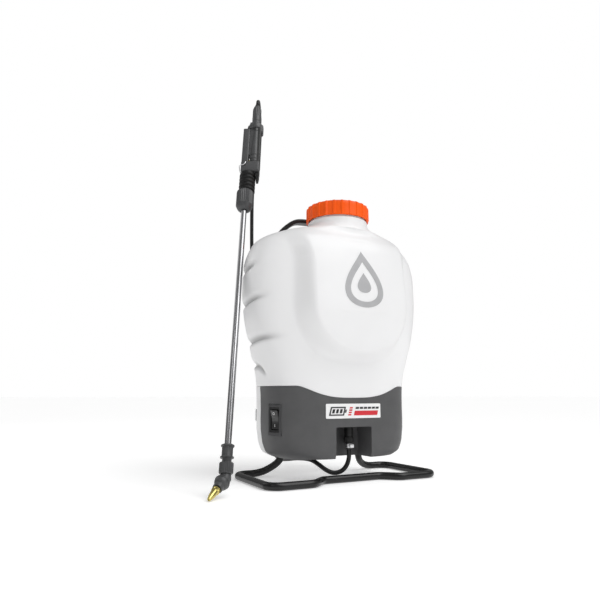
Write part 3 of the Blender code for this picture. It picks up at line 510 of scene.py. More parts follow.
def hermite(table, z, column):
    """A smooth curve through a table's column."""
    x, y = table[:, 0], table[:, column]
    slope = np.gradient(y, x)
    i = np.clip(np.searchsorted(x, z) - 1, 0, len(x) - 2)
    h = x[i + 1] - x[i]
    t = np.clip((z - x[i]) / h, 0, 1)
    t2, t3 = t * t, t * t * t
    start = (2 * t3 - 3 * t2 + 1) * y[i] + (t3 - 2 * t2 + t) * h * slope[i]
    return start + (3 * t2 - 2 * t3) * y[i + 1] + (t3 - t2) * h * slope[i + 1]


def smoothstep(t):
    t = np.clip(t, 0.0, 1.0)
    return t * t * (3 - 2 * t)


def level(z):
    return [hermite(LEVELS, z, k) for k in range(1, 5)]


def shield(x, z):
    """How far the raised front panel stands out at x and height z, with its thin line and its small fold."""
    below = np.maximum(0.0, SHIELD_MID - z) / SHIELD_DROP
    above = np.clip((z - 0.44) / 0.06, 0, 1)
    reach = ((np.abs(x) / (SHIELD_HALF + 0.004 * above)) ** 2.3 + below**2.3) ** (1 / 2.3)
    band = 0.29 + 0.14 * above
    lift = 0.92 * hermite(LIFT, z, 1) * (1 - smoothstep((reach - 1.0) / band))
    line = 0.0007 * np.exp(-(((z - LINE_Z) / 0.0022) ** 2))
    line = line * (1 - smoothstep((np.abs(x) - 0.045) / 0.02))
    fold = 0.0009 * np.exp(-(((z - FOLD_Z - 0.0012 * np.cos(x / 0.02)) / 0.0018) ** 2))
    fold = fold * (1 - smoothstep((np.abs(x) - 0.02) / 0.015))
    return lift + line - fold


def grooves(y, z, below, above, drop=0.0):
    """1 in the pressed grooves and 0 away from them, with a width below and above each line."""
    total = np.zeros_like(y)
    for line in GROOVES:
        at, heights = np.array(line)[::-1].T
        gap = z - np.interp(y, at, heights) - drop
        fade = smoothstep((y - at[0]) / (0.32 * (at[-1] - at[0])))
        total += fade * np.exp(-((gap / np.where(gap < 0, below, above)) ** 2))
    return total


def beside(x, y):
    """1 on the tank's sides, fading out on the front and back."""
    return smoothstep((np.abs(x) - 0.1) / 0.06) * np.where(x > 0, smoothstep((y - 0.045) / 0.05), 1.0)


def form_angles(columns):
    fine = np.linspace(0, 2 * pi, 2881)
    half, front, back, square = level(np.array(0.38))
    x = half * np.sign(np.cos(fine)) * np.abs(np.cos(fine)) ** (2 / square)
    y = (back - front) / 2 * np.sign(np.sin(fine)) * np.abs(np.sin(fine)) ** (2 / square)
    run = np.concatenate([[0], np.cumsum(np.hypot(np.diff(x), np.diff(y)))])
    return np.interp(np.arange(columns) / columns * run[-1], run, fine)


def form(angles, z, inset=0.0, raised=True):
    """Points of the body's surface at given angles and heights."""
    z = np.broadcast_to(np.asarray(z, float), angles.shape)
    half, front, back, square = level(z)
    half, front, back = half - inset, front + inset, back - inset
    middle, deep = (front + back) / 2, (back - front) / 2
    c, s = np.cos(angles), np.sin(angles)
    x = half * np.sign(c) * np.abs(c) ** (2 / square)
    y = middle + deep * np.sign(s) * np.abs(s) ** (2 / square)
    if raised:
        nx = np.sign(c) * np.abs(x / half) ** (square - 1) / half
        ny = np.sign(s) * np.abs((y - middle) / deep) ** (square - 1) / deep
        size = np.hypot(nx, ny) + 1e-9
        dent = 0.0068 * grooves(y, z, 0.0042, 0.0076) * beside(x, y)
        x = x - nx / size * dent
        y = y - ny / size * dent
        y = y - np.where(s < 0, shield(x, z), 0.0)
    return np.stack([x, y, z], -1)


def seam(x, y):
    share = np.minimum(1.0, np.abs(x) / SEAM_HALF)
    return SEAM_Z - np.where(y < SPLIT_Y, SEAM_DIP * (1 - share**3) ** 1.5, 0.0)


def front_y(x, z):
    """The front surface's y at given x and height."""
    half, front, back, square = level(np.asarray(z, float))
    middle, deep = (front + back) / 2, (back - front) / 2
    plain = middle - deep * (1 - (np.abs(x) / half) ** square) ** (1 / square)
    return plain - np.where(z > SEAM_Z, shield(x, z), 0.0)


def neck_ring(angles, radius, z):
    return np.stack([radius * np.cos(angles), NECK_Y + radius * np.sin(angles), np.full_like(angles, z)], -1)


def make_tank():
    angles = form_angles(224)
    base = form(angles, SEAM_Z, raised=False)
    edge = seam(base[:, 0], base[:, 1])
    rows = [form(angles, edge, inset, raised=False) for inset in (0.004, 0.0006)]
    first = edge + 0.0012
    for t in np.linspace(0, 1, 12):
        rows.append(form(angles, first + t * (0.212 - first)))
    for z in np.arange(0.2145, SHOULDER_Z, 0.0026):
        rows.append(form(angles, z))
    shoulder = form(angles, SHOULDER_Z)
    ring = neck_ring(angles, NECK_R, SHOULDER_Z)
    for t in np.linspace(0.08, 1, 16):
        ease = smoothstep(t) ** 0.8
        row = shoulder * (1 - ease) + ring * ease
        row[:, 2] = SHOULDER_Z + 0.02 * t**2.0
        rows.append(row)
    collar = [(NECK_R, 0.535), (NECK_R, 0.5372), (NECK_R - 0.0012, 0.538), (0.0604, 0.5382)]
    mouth = [(0.06, 0.54), (0.06, 0.559), (0.0592, 0.56), (0.0568, 0.56), (0.056, 0.559), (0.056, 0.518)]
    rows += [neck_ring(angles, r, z) for r, z in collar + mouth]
    for z in (0.508, 0.503, 0.497, 0.485, 0.47, 0.43, 0.37, 0.31, 0.26, 0.235, 0.1905):
        rows.append(form(angles, z, WALL, raised=False))
    shell = closed_form("tank_shell", rows, "tank", angle=radians(60))
    x, y, z = np.array([v.co for v in shell.data.vertices]).T
    # Painted shade: how far each vertex lies in a groove, stored as the crease attribute that darkens the
    # tank's colour there.
    painted_groove_shade = grooves(y, z, 0.0046, 0.0066, 0.0012) * beside(x, y)
    crease = shell.data.attributes.new("crease", "FLOAT", "POINT")
    crease.data.foreach_set("value", painted_groove_shade.astype(np.float32))
    return stands_for(shell, "tank")


def decal(name, loops, look, offset, thick=0.00025):
    """Flat (x, z) shapes laid on the front surface. Each loop is one closed outline."""
    bm = bmesh.new()
    for loop in loops:
        bm.faces.new([bm.verts.new((x, 0.0, z)) for x, z in loop])
    bmesh.ops.triangulate(bm, faces=bm.faces[:])
    for _ in range(2):
        long_edges = [e for e in bm.edges if e.calc_length() > 0.006]
        if long_edges:
            bmesh.ops.subdivide_edges(bm, edges=long_edges, cuts=2)
            bmesh.ops.triangulate(bm, faces=[f for f in bm.faces if len(f.verts) > 3])
    for v in bm.verts:
        v.co.y = float(front_y(np.array(v.co.x), np.array(v.co.z))) - offset
    lifted = bmesh.ops.extrude_face_region(bm, geom=bm.faces[:])
    for v in [g for g in lifted["geom"] if isinstance(g, bmesh.types.BMVert)]:
        v.co.y -= thick
    return extra(link(name, bm, look, angle=radians(40)), "sprayer")


def drop_outline(middle, size, count):
    """A water drop with a round foot."""
    turns = [2 * pi * i / count for i in range(count)]
    return [(size * sin(t) * sin(t / 2) ** 1.4 * 1.35, middle + size * 1.25 * cos(t)) for t in turns]


def emblem():
    outer, inner = drop_outline(0.398, 0.047, 64), drop_outline(0.3925, 0.0335, 64)
    loops = [[outer[i - 1], outer[i], inner[i], inner[i - 1]] for i in (*range(1, 64), 0)]
    decal("drop_mark", loops, "mark", 0.0002)
    decal("drop_mark_centre", [drop_outline(0.3895, 0.0165, 40)], "mark", 0.0002)


# ------------------------------------------------------------------ lower housings

FOOT_Z, FOOT_TOP = 0.046, 0.052
OUTLET = Vector((0.007, 0.02, 0.0))
LEG_X, LEG_Y = 0.095, 0.12


def housing_form(name, inset, drop, look):
    """The closed form under the tank's seam: the outer skin with no inset, the hollow inside it with one."""
    angles = form_angles(128)
    heights = [0.046, 0.0463, 0.0472, 0.049, 0.052, 0.056, 0.061, 0.067, 0.075, 0.085, 0.1, 0.12, 0.14, 0.155]
    rows = []
    if inset <= 0:
        under = form(angles, FOOT_Z, inset, raised=False)
        middle = under.mean(0)
        for share in (0.6, 0.9, 0.975):
            row = middle + (under - middle) * share
            row[:, 2] = FOOT_Z
            rows.append(row)
    for z in heights:
        row = form(angles, z, inset, raised=False)
        if z < FOOT_TOP:
            row[:, 2] += inset * (FOOT_TOP - z) / 0.006
        rows.append(row)
    top = form(angles, SEAM_Z, inset, raised=False)
    if inset > 0:
        top[:, 2] = SEAM_Z + 0.02
        rows.append(top)
    else:
        edge = seam(top[:, 0], top[:, 1]) - drop
        for t in (0.5, 1.0):
            rows.append(form(angles, heights[-1] + t * (edge - heights[-1]), inset, raised=False))
    return closed_form(name, rows, look)


SWITCH = Matrix.Translation((-0.1505, 0.036, 0.121)) @ Matrix.Rotation(radians(25), 4, "Z")


def rod(name, start, end, radius, look, matrix=None, segments=48, bevel=0.0):
    start, end = Vector(start), Vector(end)
    along = end - start
    place = Matrix.Translation(start) @ along.to_track_quat("Z", "Y").to_matrix().to_4x4()
    if matrix is not None:
        place = matrix @ place
    length = along.length
    side = [(radius, 0), (radius, length)]
    if bevel:
        side = [(radius - bevel, 0), (radius, bevel), (radius, length - bevel), (radius - bevel, length)]
    profile = [(0, 0), *side, (0, length)]
    return turned(name, profile, look, place, segments)


def make_housings():
    front = housing_form("front_housing_shell", 0.0, 0.0004, "housing")
    inside = housing_form("hollow", 0.003, 0.0, "housing")
    pocket = block("pocket", (-0.0445, -0.08, 0.02), (0.0445, 0.043, 0.109), "housing", 0.004)
    carve(inside, pocket)
    recess = block("recess", (-0.0415, -0.06, 0.01), (0.0415, 0.04, 0.106), "housing", 0.003)
    rear = block("rear", (-0.3, SPLIT_Y - 0.0002, -0.1), (0.3, 0.3, 0.3), "housing")
    hole = rod("hole", OUTLET + Vector((0, 0, 0.09)), OUTLET + Vector((0, 0, 0.13)), 0.0068, "housing")
    slot = block("slot", (-0.02, -0.0164, -0.0304), (0.03, 0.0164, 0.0304), "housing", matrix=SWITCH)
    bay = block("bay", (0.0608, 0.0288, 0.0788), (0.19, 0.0852, 0.1432), "housing", 0.003)
    carve(front, inside, rear, recess, hole, slot, bay)
    stands_for(front, "front_housing")

    back = housing_form("rear_cover_shell", 0.0, 0.0004, "tank")
    inside = housing_form("hollow", 0.003, 0.0, "tank")
    cutters = [inside, block("half", (-0.3, -0.3, -0.1), (0.3, SPLIT_Y + 0.0002, 0.3), "tank")]
    for x in (-LEG_X, LEG_X):
        cutters.append(rod("leg", (x, LEG_Y, 0.02), (x, LEG_Y, 0.056), 0.0098, "tank"))
    carve(back, *cutters)
    stands_for(back, "rear_cover")


def round_rect(x0, z0, x1, z1, r):
    out = []
    centres = ((x1 - r, z1 - r), (x0 + r, z1 - r), (x0 + r, z0 + r), (x1 - r, z0 + r))
    for corner, (cx, cz) in enumerate(centres):
        turns = [radians(90 * corner + 18 * i) for i in range(6)]
        out += [(cx + r * cos(t), cz + r * sin(t)) for t in turns]
    return out


def make_label():
    """A white plate with a generic battery sign, slanted cells and plain bars in place of words."""
    outline = round_rect(-0.0645, 0.123, 0.0645, 0.1515, 0.0022)
    plate = decal("label_film", [outline], "label", 0.0004, thick=0.0008)
    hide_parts("label_plate")
    lean, middle, top = 0.28, 0.137, 0.0013

    def slant(x0, z0, x1, z1):
        return [(x + lean * (z - middle), z) for x, z in ((x0, z0), (x1, z0), (x1, z1), (x0, z1))]

    case = [slant(-0.056, 0.143, -0.022, 0.1455), slant(-0.056, 0.1285, -0.022, 0.131)]
    case += [slant(-0.056, 0.131, -0.053, 0.143)]
    case += [slant(-0.025, 0.131, -0.022, 0.143), slant(-0.0214, 0.134, -0.0184, 0.14)]
    case += [slant(-0.0505 + 0.0085 * i, 0.133, -0.045 + 0.0085 * i, 0.141) for i in range(3)]
    decal("label_battery", case, "ink", top)
    red = [slant(-0.0125, z, -0.0055, z + 0.0028) for z in (0.1285, 0.133, 0.1375, 0.142)]
    red += [slant(0.001, 0.1285, 0.058, 0.1375)]
    decal("label_red", red, "red", top)
    bars = [slant(0.0015 + 0.0098 * i, 0.141, 0.0093 + 0.0098 * i, 0.145) for i in range(6)]
    decal("label_bars", bars, "ink", top)


def make_switch():
    frame_box = block("bezel", (-0.003, -0.016, -0.03), (0.005, 0.016, 0.03), "bezel", 0.0014, matrix=SWITCH)
    hole = block("hole", (-0.01, -0.0092, -0.0198), (0.02, 0.0092, 0.0198), "trim", 0.0012, matrix=SWITCH)
    step = block("step", (-0.0095, -0.0122, -0.024), (-0.0016, 0.0122, 0.024), "trim", 0.0012, matrix=SWITCH)
    stands_for(carve(frame_box, hole, step), "switch_bezel")
    body = block("switch_case", (0.0054, -0.012, -0.022), (0.024, 0.012, 0.022), "trim", 0.001, matrix=SWITCH)
    seat = block("seat", (0.0, -0.0094, -0.02), (0.015, 0.0094, 0.02), "trim", matrix=SWITCH)
    stands_for(carve(body, seat), "switch_body")
    rows = []
    face, keel = 0.0178, 0.0165  # half heights of the rocker's face and of its hidden underside
    for y in (-0.0086, -0.0078, 0.0078, 0.0086):
        shrink = 0.0006 if abs(y) > 0.008 else 0.0
        row = []
        for i in range(13):
            z = -face + 2 * face * i / 12
            share = z / face
            x = -0.0016 - 0.0001 - 0.0036 * max(0, share) + 0.0012 * (1 - share**2) + shrink
            row.append((x, y, z * (1 - shrink * 20)))
        for i in range(12, -1, -1):
            z = -keel + 2 * keel * i / 12
            row.append((0.004 + 0.0036 * (1 - (z / keel) ** 2), y, z))
        rows.append(row)
    rocker = closed_form("rocker", rows, "gloss", SWITCH)
    stands_for(rocker, "switch_rocker")
    ring = [(0.0018, -0.0001), (0.0026, -0.0001), (0.0026, 0.0002), (0.0018, 0.0002)]
    place = SWITCH @ Matrix.Translation((-0.0046, 0, 0.0118)) @ Matrix.Rotation(-pi / 2 - 0.2, 4, "Y")
    ring = turned("rocker_off_mark", ring, "bright", place, 24, ring=True)
    extra(ring, "rocker")
    bar = block(
        "rocker_on_mark", (-0.0016, -0.0004, -0.0134), (-0.0011, 0.0004, -0.0086), "bright", 0.0001,
        matrix=SWITCH
    )
    extra(bar, "rocker")


def make_battery():
    low, high = Vector((0.062, 0.03, 0.08)), Vector((0.147, 0.084, 0.142))
    pack = block("battery_case", low, high, "trim", 0.004, 4)
    cuts = [block("cut", (high.x - 0.012, 0.04, 0.1215), (high.x + 0.01, 0.068, 0.1345), "trim", 0.001)]
    for i in range(4):
        z = 0.086 + 0.0075 * i
        foot, head = (high.x - 0.0012, 0.038, z), (high.x + 0.01, 0.076, z + 0.0035)
        cuts.append(block("rib", foot, head, "trim", 0.0004))
    stands_for(carve(pack, *cuts), "battery_pack")
    foot, head = (high.x - 0.0085, 0.0404, 0.1219), (high.x + 0.0018, 0.0676, 0.1341)
    button = block("latch_button", foot, head, "cap", 0.0012)
    cuts = []
    for i in range(5):
        y = 0.044 + 0.0045 * i
        cuts.append(block("line", (high.x + 0.0012, y, 0.1238), (high.x + 0.004, y + 0.0015, 0.1322), "cap"))
    stands_for(carve(button, *cuts), "battery_latch")


def make_outlet():
    place = Matrix.Translation(OUTLET)
    body = [(0.0018, 0.0601), (0.003, 0.0601), (0.003, 0.074), (0.0105, 0.074), (0.0105, 0.084)]
    body += [(0.0088, 0.086), (0.0088, 0.1055), (0.0062, 0.1055), (0.0062, 0.124), (0.005, 0.1255)]
    body += [(0.0062, 0.128), (0.004, 0.13), (0.0018, 0.13)]
    body = soft_profile(body, 0.0006)
    grip = [i for i, (r, z) in enumerate(body) if 0.0745 < z < 0.0838 and r > 0.009]

    def notches(turn, index):
        return -0.0007 if index in grip and cos(18 * turn) > 0.2 else 0.0

    barb = turned("outlet_nipple", body, "trim", place, 72, ring=True, wobble=notches)
    stands_for(barb, "outlet_barb")
    cuff = soft_profile([(0.0034, 0.0603), (0.006, 0.0603), (0.0061, 0.0735), (0.0034, 0.0735)], 0.0004)
    stands_for(turned("hose_end", cuff, "hose", place, 48, ring=True), "hose_cuff")
    band = soft_profile([(0.0064, 0.0632), (0.0079, 0.0632), (0.0079, 0.0716), (0.0064, 0.0716)], 0.0004)
    clip = turned("clamp_band", band, "zinc", place, 48, ring=True)
    low = Vector((0.003, 0.0065, 0.064))
    ear = block("ear", low, low + Vector((0.008, 0.0062, 0.0068)), "zinc", 0.0008)
    stands_for(carve(clip, ear, operation="UNION"), "hose_clamp")
    screw = rod(
        "clamp_screw_head", (0.0012, 0.0095, 0.0674), (0.003, 0.0095, 0.0674), 0.0026, "zinc", bevel=0.0004
    )
    slot = block("slot", (0.0, 0.007, 0.067), (0.0018, 0.012, 0.0678), "zinc")
    extra(carve(screw, slot), "sprayer")


# ------------------------------------------------------------------ cap


def make_cap():
    rim, top, radius = CAP_RIM, 0.574, 0.0668
    ribs, per = 24, 10
    outer = [(radius - 0.001, rim), (radius, rim + 0.0006), (radius + 0.0003, rim + 0.003)]
    outer += [(radius, rim + 0.0042), (radius - 0.0001, top - 0.011), (radius - 0.0004, top - 0.006)]
    outer += [(radius - 0.0016, top - 0.003), (radius - 0.004, top - 0.001), (radius - 0.008, top - 0.0002)]
    outer += [(0.052, top), (0.0505, top - 0.0006), (0.048, top - 0.0022), (0.03, top - 0.0026)]
    outer += [(0.0285, top - 0.0016), (0.027, top - 0.0012), (0.0, top - 0.001)]
    inner = [(0.0, 0.5669), (0.062, 0.5669), (0.0634, 0.5655), (0.0634, rim + 0.0004), (0.064, rim)]
    # how much of the ribs' depth each of the first rings of the outer side has
    grow = {0: 0.2, 1: 0.6, 2: 1.0, 3: 1.0, 4: 1.0, 5: 1.1, 6: 1.25, 7: 1.0, 8: 0.4}

    def wobble(turn, index):
        if index not in grow:
            return 0.0
        phase = (turn * ribs / (2 * pi)) % 1.0
        ridge = smoothstep((0.16 - abs(phase - 0.5)) / 0.07)
        return float(0.0019 * grow[index] * ridge)

    axis = Matrix.Translation((0, NECK_Y, 0))
    profile = outer + inner
    cap = turned("screw_cap", profile, "cap", axis, ribs * per, ring=True, wobble=wobble, angle=radians(30))
    stands_for(cap, "cap_shell")
    grip = []
    low, high = (-0.026, -0.0022, top - 0.0016), (0.026, 0.0022, top + 0.0004)
    for i in range(3):
        turn = axis @ Matrix.Rotation(pi * i / 3, 4, "Z")
        grip.append(block(f"cap_grip_{i}", low, high, "cap", 0.0008, matrix=turn))
    extra(carve(grip[0], *grip[1:], operation="UNION"), "cap")


# ------------------------------------------------------------------ stand


def make_stand():
    height = 0.0075 * cos(pi / 12)
    half, front, back, bend = 0.1885, -0.0286, 0.1468, 0.024
    points = [(0.0, 0.0, height), (0.03, 0.0, height), (0.058, 0.0, height), (0.0665, -0.0016, height)]
    points += [(0.076, -0.0078, height), (0.09, -0.0208, height), (0.0995, -0.027, height)]
    points += [(0.108, front, height), (0.135, front, height)]
    for i in range(9):
        turn = pi / 2 * i / 8
        points.append((half - bend + bend * sin(turn), front + bend - bend * cos(turn), height))
    points.append((half, (front + back) / 2, height))
    for i in range(9):
        turn = pi / 2 * i / 8
        points.append((half - bend + bend * cos(turn), back - bend + bend * sin(turn), height))
    points += [(0.15, back, height), (0.138, 0.1462, 0.0083), (0.126, 0.143, 0.0115), (0.114, 0.1375, 0.018)]
    points += [(0.1045, 0.13, 0.026), (0.0985, 0.124, 0.0345), (0.0956, 0.1207, 0.043)]
    points += [(LEG_X, LEG_Y, 0.05), (LEG_X, LEG_Y, 0.078)]
    path = [(-x, y, z) for x, y, z in reversed(points[1:])] + points
    fine = smooth_route(path, 0.0035)
    stands_for(sweep("stand", fine, circle(0.0074, 24), "stand", keep_up=len(fine) // 2), "stand_tube")


# ------------------------------------------------------------------ wand

WAND = (
    Matrix.Translation((-0.2758, -0.0368, 0.0466))
    @ Matrix.Rotation(radians(-28.1), 4, "Z")
    @ Matrix.Rotation(radians(-20.5), 4, "X")
)
GRIP_X, BALL_R = 0.016, 0.0132
PIVOT = Vector((-0.004, 0.0, 0.682))
PLUNGER = Vector((-0.0095, 0.0, 0.706))


def ribbed(name, points, rounding, look, matrix, sides, band, ribs, depth):
    """A turned ring with lengthwise ribs where its profile lies in the band (low, high, least radius)."""
    profile = soft_profile(points, rounding)
    low, high, least = band
    on_band = [i for i, (r, z) in enumerate(profile) if low < z < high and r > least]

    def wobble(turn, index):
        return -depth * (0.5 + 0.5 * cos(ribs * turn)) if index in on_band else 0.0

    return turned(name, profile, look, matrix, sides, ring=True, wobble=wobble)


def make_wand():
    tube = [(0.0045, 0.0305), (0.006, 0.0305), (0.006, 0.575), (0.0045, 0.575)]
    stands_for(turned("lance_tube", tube, "steel", WAND, 48, ring=True), "wand_tube")

    points = [(0.0064, 0.0302), (0.004, 0.0302), (0.004, 0.0095), (0.0081, 0.0095), (0.0081, 0.0158)]
    points += [(0.012, 0.0164), (0.012, 0.0186), (0.0096, 0.0194), (0.0096, 0.0352), (0.0118, 0.036)]
    points += [(0.0118, 0.0384), (0.01, 0.0394), (0.0064, 0.0394)]
    band = (0.02, 0.035, 0.009)
    collar = ribbed("lance_collar", points, 0.0005, "fitting", WAND, 96, band, 16, 0.0009)
    stands_for(collar, "wand_collar")

    points = [(0.0086, 0.0091), (0.0118, 0.0085), (0.0124, 0.007), (0.0124, -0.008), (0.0112, -0.0102)]
    points += [(0.0045, -0.0102), (0.0045, -0.009), (0.0086, -0.0088)]
    band = (-0.0085, 0.008, 0.0115)
    nut = ribbed("lower_nut", points, 0.0004, "fitting", WAND, 120, band, 24, 0.001)
    stands_for(nut, "elbow_nut")

    points = [(0.0064, 0.558), (0.01, 0.558), (0.015, 0.5625), (0.0178, 0.569), (0.0188, 0.571)]
    points += [(0.019, 0.608), (0.0176, 0.6098), (0.012, 0.6098), (0.012, 0.576), (0.0064, 0.574)]
    band = (0.5712, 0.608, 0.017)
    nut = ribbed("grip_nut", points, 0.0008, "fitting", WAND, 168, band, 28, 0.0011)
    stands_for(nut, "wand_nut")

    ribs = [(0.0, 0.6102), (0.015, 0.6102)]
    for i in range(5):
        low = 0.611 + 0.0108 * i
        ribs += [(0.0168, low - 0.0004), (0.0183, low + 0.001), (0.0183, low + 0.005)]
        ribs += [(0.016, low + 0.0068), (0.0156, low + 0.0096)]
    ribs += [(0.015, 0.6655), (0.0, 0.6655)]
    place = WAND @ Matrix.Translation((0.003, 0, 0))
    stands_for(turned("bellows", soft_profile(ribs, 0.0009), "rubber", place, 64), "ribbed_sleeve")


def hinge_rod(name, half, radius, look, **more):
    """A rod along the trigger's hinge: the pin, and the bores round it."""
    side = Vector((0, half, 0))
    return rod(name, PIVOT - side, PIVOT + side, radius, look, WAND, **more)


def make_handle():
    grip = block("handle_case", (0.016, -0.0104, 0.6815), (0.03, 0.0104, 0.824), "trim", 0.0045, 4, WAND)
    head = block("head", (-0.013, -0.0135, 0.666), (0.0292, 0.0135, 0.696), "fitting", 0.0035, 4, WAND)
    outline = [(0.025, 0.684), (0.0056, 0.684), (0.0056, 0.721), (-0.0053, 0.721)]
    outline += [(0.004, 0.81), (0.004, 0.8215), (0.025, 0.8215)]
    web = slab("web", outline, 0.0068, 0.0008, "fitting", WAND)
    outline = [(0.02, 0.8078), (-0.0038, 0.8078), (-0.003, 0.814), (0.0006, 0.819)]
    outline += [(0.0022, 0.828), (0.02, 0.828)]
    step = slab("step", outline, 0.0092, 0.0016, "fitting", WAND)
    outline = [(0.0222, 0.68), (0.0292, 0.68), (0.029, 0.656), (0.0272, 0.644), (0.0222, 0.644)]
    heel = slab("heel", outline, 0.0085, 0.0012, "trim", WAND)
    bulge = block("bulge", (0.018, -0.0088, 0.793), (0.034, 0.0088, 0.8225), "fitting", 0.0062, 4, WAND)
    place = WAND @ Matrix.Translation((GRIP_X + 0.0005, 0, 0))
    points = [(0, 0.807), (0.0126, 0.807), (0.0146, 0.8088), (0.0146, 0.8215), (0.0118, 0.8262)]
    points += [(0.0112, 0.834), (0, 0.834)]
    crown = turned("crown", soft_profile(points, 0.0012), "fitting", place, 64)
    pipe = [(0, 0.69), (0.0116, 0.69)]
    for s in (0.698, 0.706, 0.718, 0.796):
        pipe += [(0.0116, s), (0.0106, s + 0.0004), (0.0106, s + 0.0016), (0.0116, s + 0.002)]
    pipe += [(0.0116, 0.82), (0, 0.82)]
    pipe = turned("pipe", pipe, "fitting", place, 48)
    carve(grip, head, web, step, heel, bulge, crown, pipe, operation="UNION")
    cuts = [
        block("slot", (-0.03, -0.01, 0.674), (0.0048, 0.01, 0.72), "fitting", matrix=WAND),
        rod("bore", PLUNGER, (0.015, 0, PLUNGER.z), 0.004, "fitting", WAND),
        hinge_rod("bore", 0.015, 0.0019, "fitting", segments=24),
    ]
    sides = [(-0.02, 0.7), (0.0052, 0.7), (0.017, 0.8077), (-0.02, 0.8077)]
    for y in (-0.0136, 0.0136):
        cuts.append(slab("side", sides, 0.0064, 0.0001, "fitting", WAND @ Matrix.Translation((0, y, 0))))
    carve(grip, *cuts)
    stands_for(grip, "handle_body")

    lever = block("lever", (-0.013, -0.0094, 0.6765), (0.003, 0.0094, 0.8066), "fitting", 0.003, 4, WAND)
    cuts = [block("channel", (-0.0102, -0.0078, 0.6905), (0.02, 0.0078, 0.84), "fitting", 0.001, 2, WAND)]
    cuts.append(hinge_rod("bore", 0.015, 0.0019, "fitting", segments=24))
    for i in range(8):
        s = 0.708 + 0.0115 * i
        low, high = (-0.014, -0.0068, s), (-0.0124, 0.0068, s + 0.0022)
        cuts.append(block("groove", low, high, "fitting", matrix=WAND))
    carve(lever, *cuts)
    stands_for(lever, "trigger_lever")

    stem = [(0, 0), (0.0022, 0), (0.0022, 0.011), (0.0034, 0.0112), (0.0034, 0.016), (0, 0.016)]
    stem = soft_profile(stem, 0.0003)
    place = WAND @ Matrix.Translation(PLUNGER) @ Matrix.Rotation(pi / 2, 4, "Y")
    stands_for(turned("plunger", stem, "brass", place, 32), "valve_plunger")
    pin = hinge_rod("hinge_pin", 0.013, 0.0016, "steel", segments=32, bevel=0.0003)
    stands_for(pin, "trigger_pin")

    wire = [(0, -0.016, 0), (-0.001, -0.016, -0.0045), (-0.006, -0.016, -0.009), (-0.0118, -0.0146, -0.0095)]
    wire += [(-0.0145, -0.01, -0.0092), (-0.015, 0, -0.009)]
    wire += [(a, -b, c) for a, b, c in reversed(wire[:-1])]
    place = WAND @ Matrix.Translation((-0.002, 0, 0.69))
    clip = sweep("lock_wire", smooth_route(wire, 0.001), circle(0.0011, 12), "zinc", (1, 0, 0), matrix=place)
    stands_for(clip, "lock_clip")

    place = WAND @ Matrix.Translation((GRIP_X, 0, 0))
    points = [(0.0052, 0.8344), (0.0098, 0.8344), (0.0107, 0.836), (0.0109, 0.85), (0.0104, 0.851)]
    points += [(0.0107, 0.853), (0.0107, 0.879), (0.0102, 0.881), (0.0084, 0.888), (0.0066, 0.8892)]
    points += [(0.0052, 0.8894)]
    band = (0.8535, 0.8795, 0.01)
    nut = ribbed("hose_coupling", points, 0.0005, "fitting", place, 96, band, 16, 0.0008)
    stands_for(nut, "hose_nut")
    relief = [(0, 0.85), (0.0048, 0.85), (0.0048, 0.8898), (0.006, 0.89), (0.006, 0.8945)]
    relief += [(0.005, 0.8975), (0, 0.8975)]
    stands_for(turned("relief", soft_profile(relief, 0.0008), "rubber", place, 40), "hose_relief")


def make_elbow():
    centre = WAND @ Vector((-0.005, 0, -0.0235))
    heading = Vector((-0.679, -0.589, -0.441)).normalized()
    tip = Matrix.Translation(centre) @ heading.to_track_quat("Z", "Y").to_matrix().to_4x4()
    body = [(0, -0.0106), (0.0092, -0.0106), (0.0098, -0.02), (0.006, -0.027), (0, -0.029)]
    elbow = turned("elbow_body", soft_profile(body, 0.001), "fitting", WAND, 48)
    ball = [(BALL_R * sin(pi * i / 24), -BALL_R * cos(pi * i / 24)) for i in range(25)]
    ball_place = tip @ Matrix.Translation((0, 0, 0.001))
    knob = turned("ball", ball, "fitting", ball_place, 48)
    mouth = soft_profile([(0, 0.0), (0.0088, 0.0), (0.0088, 0.0185), (0, 0.0185)], 0.0006)
    mouth = turned("mouth", mouth, "fitting", tip, 48)
    ring = [(0.0118, -0.0008), (0.0136, -0.0008), (0.0136, 0.0008), (0.0118, 0.0008)]
    ring = turned("seam", ring, "fitting", ball_place, 48, ring=True)
    stands_for(carve(elbow, knob, mouth, ring, operation="UNION"), "elbow")
    points = [(0.0012, 0.0206), (0.0068, 0.0206), (0.0074, 0.0218), (0.0074, 0.0262), (0.006, 0.0272)]
    points += [(0.006, 0.03), (0.0054, 0.038), (0.004, 0.044), (0.0026, 0.048), (0.0012, 0.048)]
    band = (0.0215, 0.0262, 0.0068)
    stands_for(ribbed("nozzle_tip", points, 0.0004, "brass", tip, 120, band, 30, 0.0005), "nozzle")


# ------------------------------------------------------------------ hose

HOSE_ROUTE = [
    (0.007, 0.02, 0.0598), (0.007, 0.02, 0.044), (0.002, 0.0212, 0.029),
    (-0.009, 0.024, 0.018), (-0.024, 0.029, 0.015), (-0.037, 0.0365, 0.0205),
    (-0.047, 0.0475, 0.03), (-0.054, 0.065, 0.0375), (-0.059, 0.09, 0.0385),
    (-0.06, 0.125, 0.0355), (-0.059, 0.165, 0.03), (-0.058, 0.203, 0.027),
    (-0.058, 0.234, 0.035), (-0.059, 0.256, 0.057), (-0.062, 0.268, 0.095),
    (-0.068, 0.277, 0.15), (-0.078, 0.286, 0.25), (-0.088, 0.294, 0.36),
    (-0.0945, 0.298, 0.48), (-0.097, 0.299, 0.59), (-0.0965, 0.2985, 0.68),
    (-0.089, 0.2975, 0.77), (-0.0815, 0.2968, 0.85), (-0.0792, 0.2975, 0.8815),
    (-0.0835, 0.29, 0.9), (-0.091, 0.276, 0.9108), (-0.0998, 0.259, 0.9122),
    (-0.1078, 0.2437, 0.9044), (-0.1131, 0.2335, 0.8892),
]


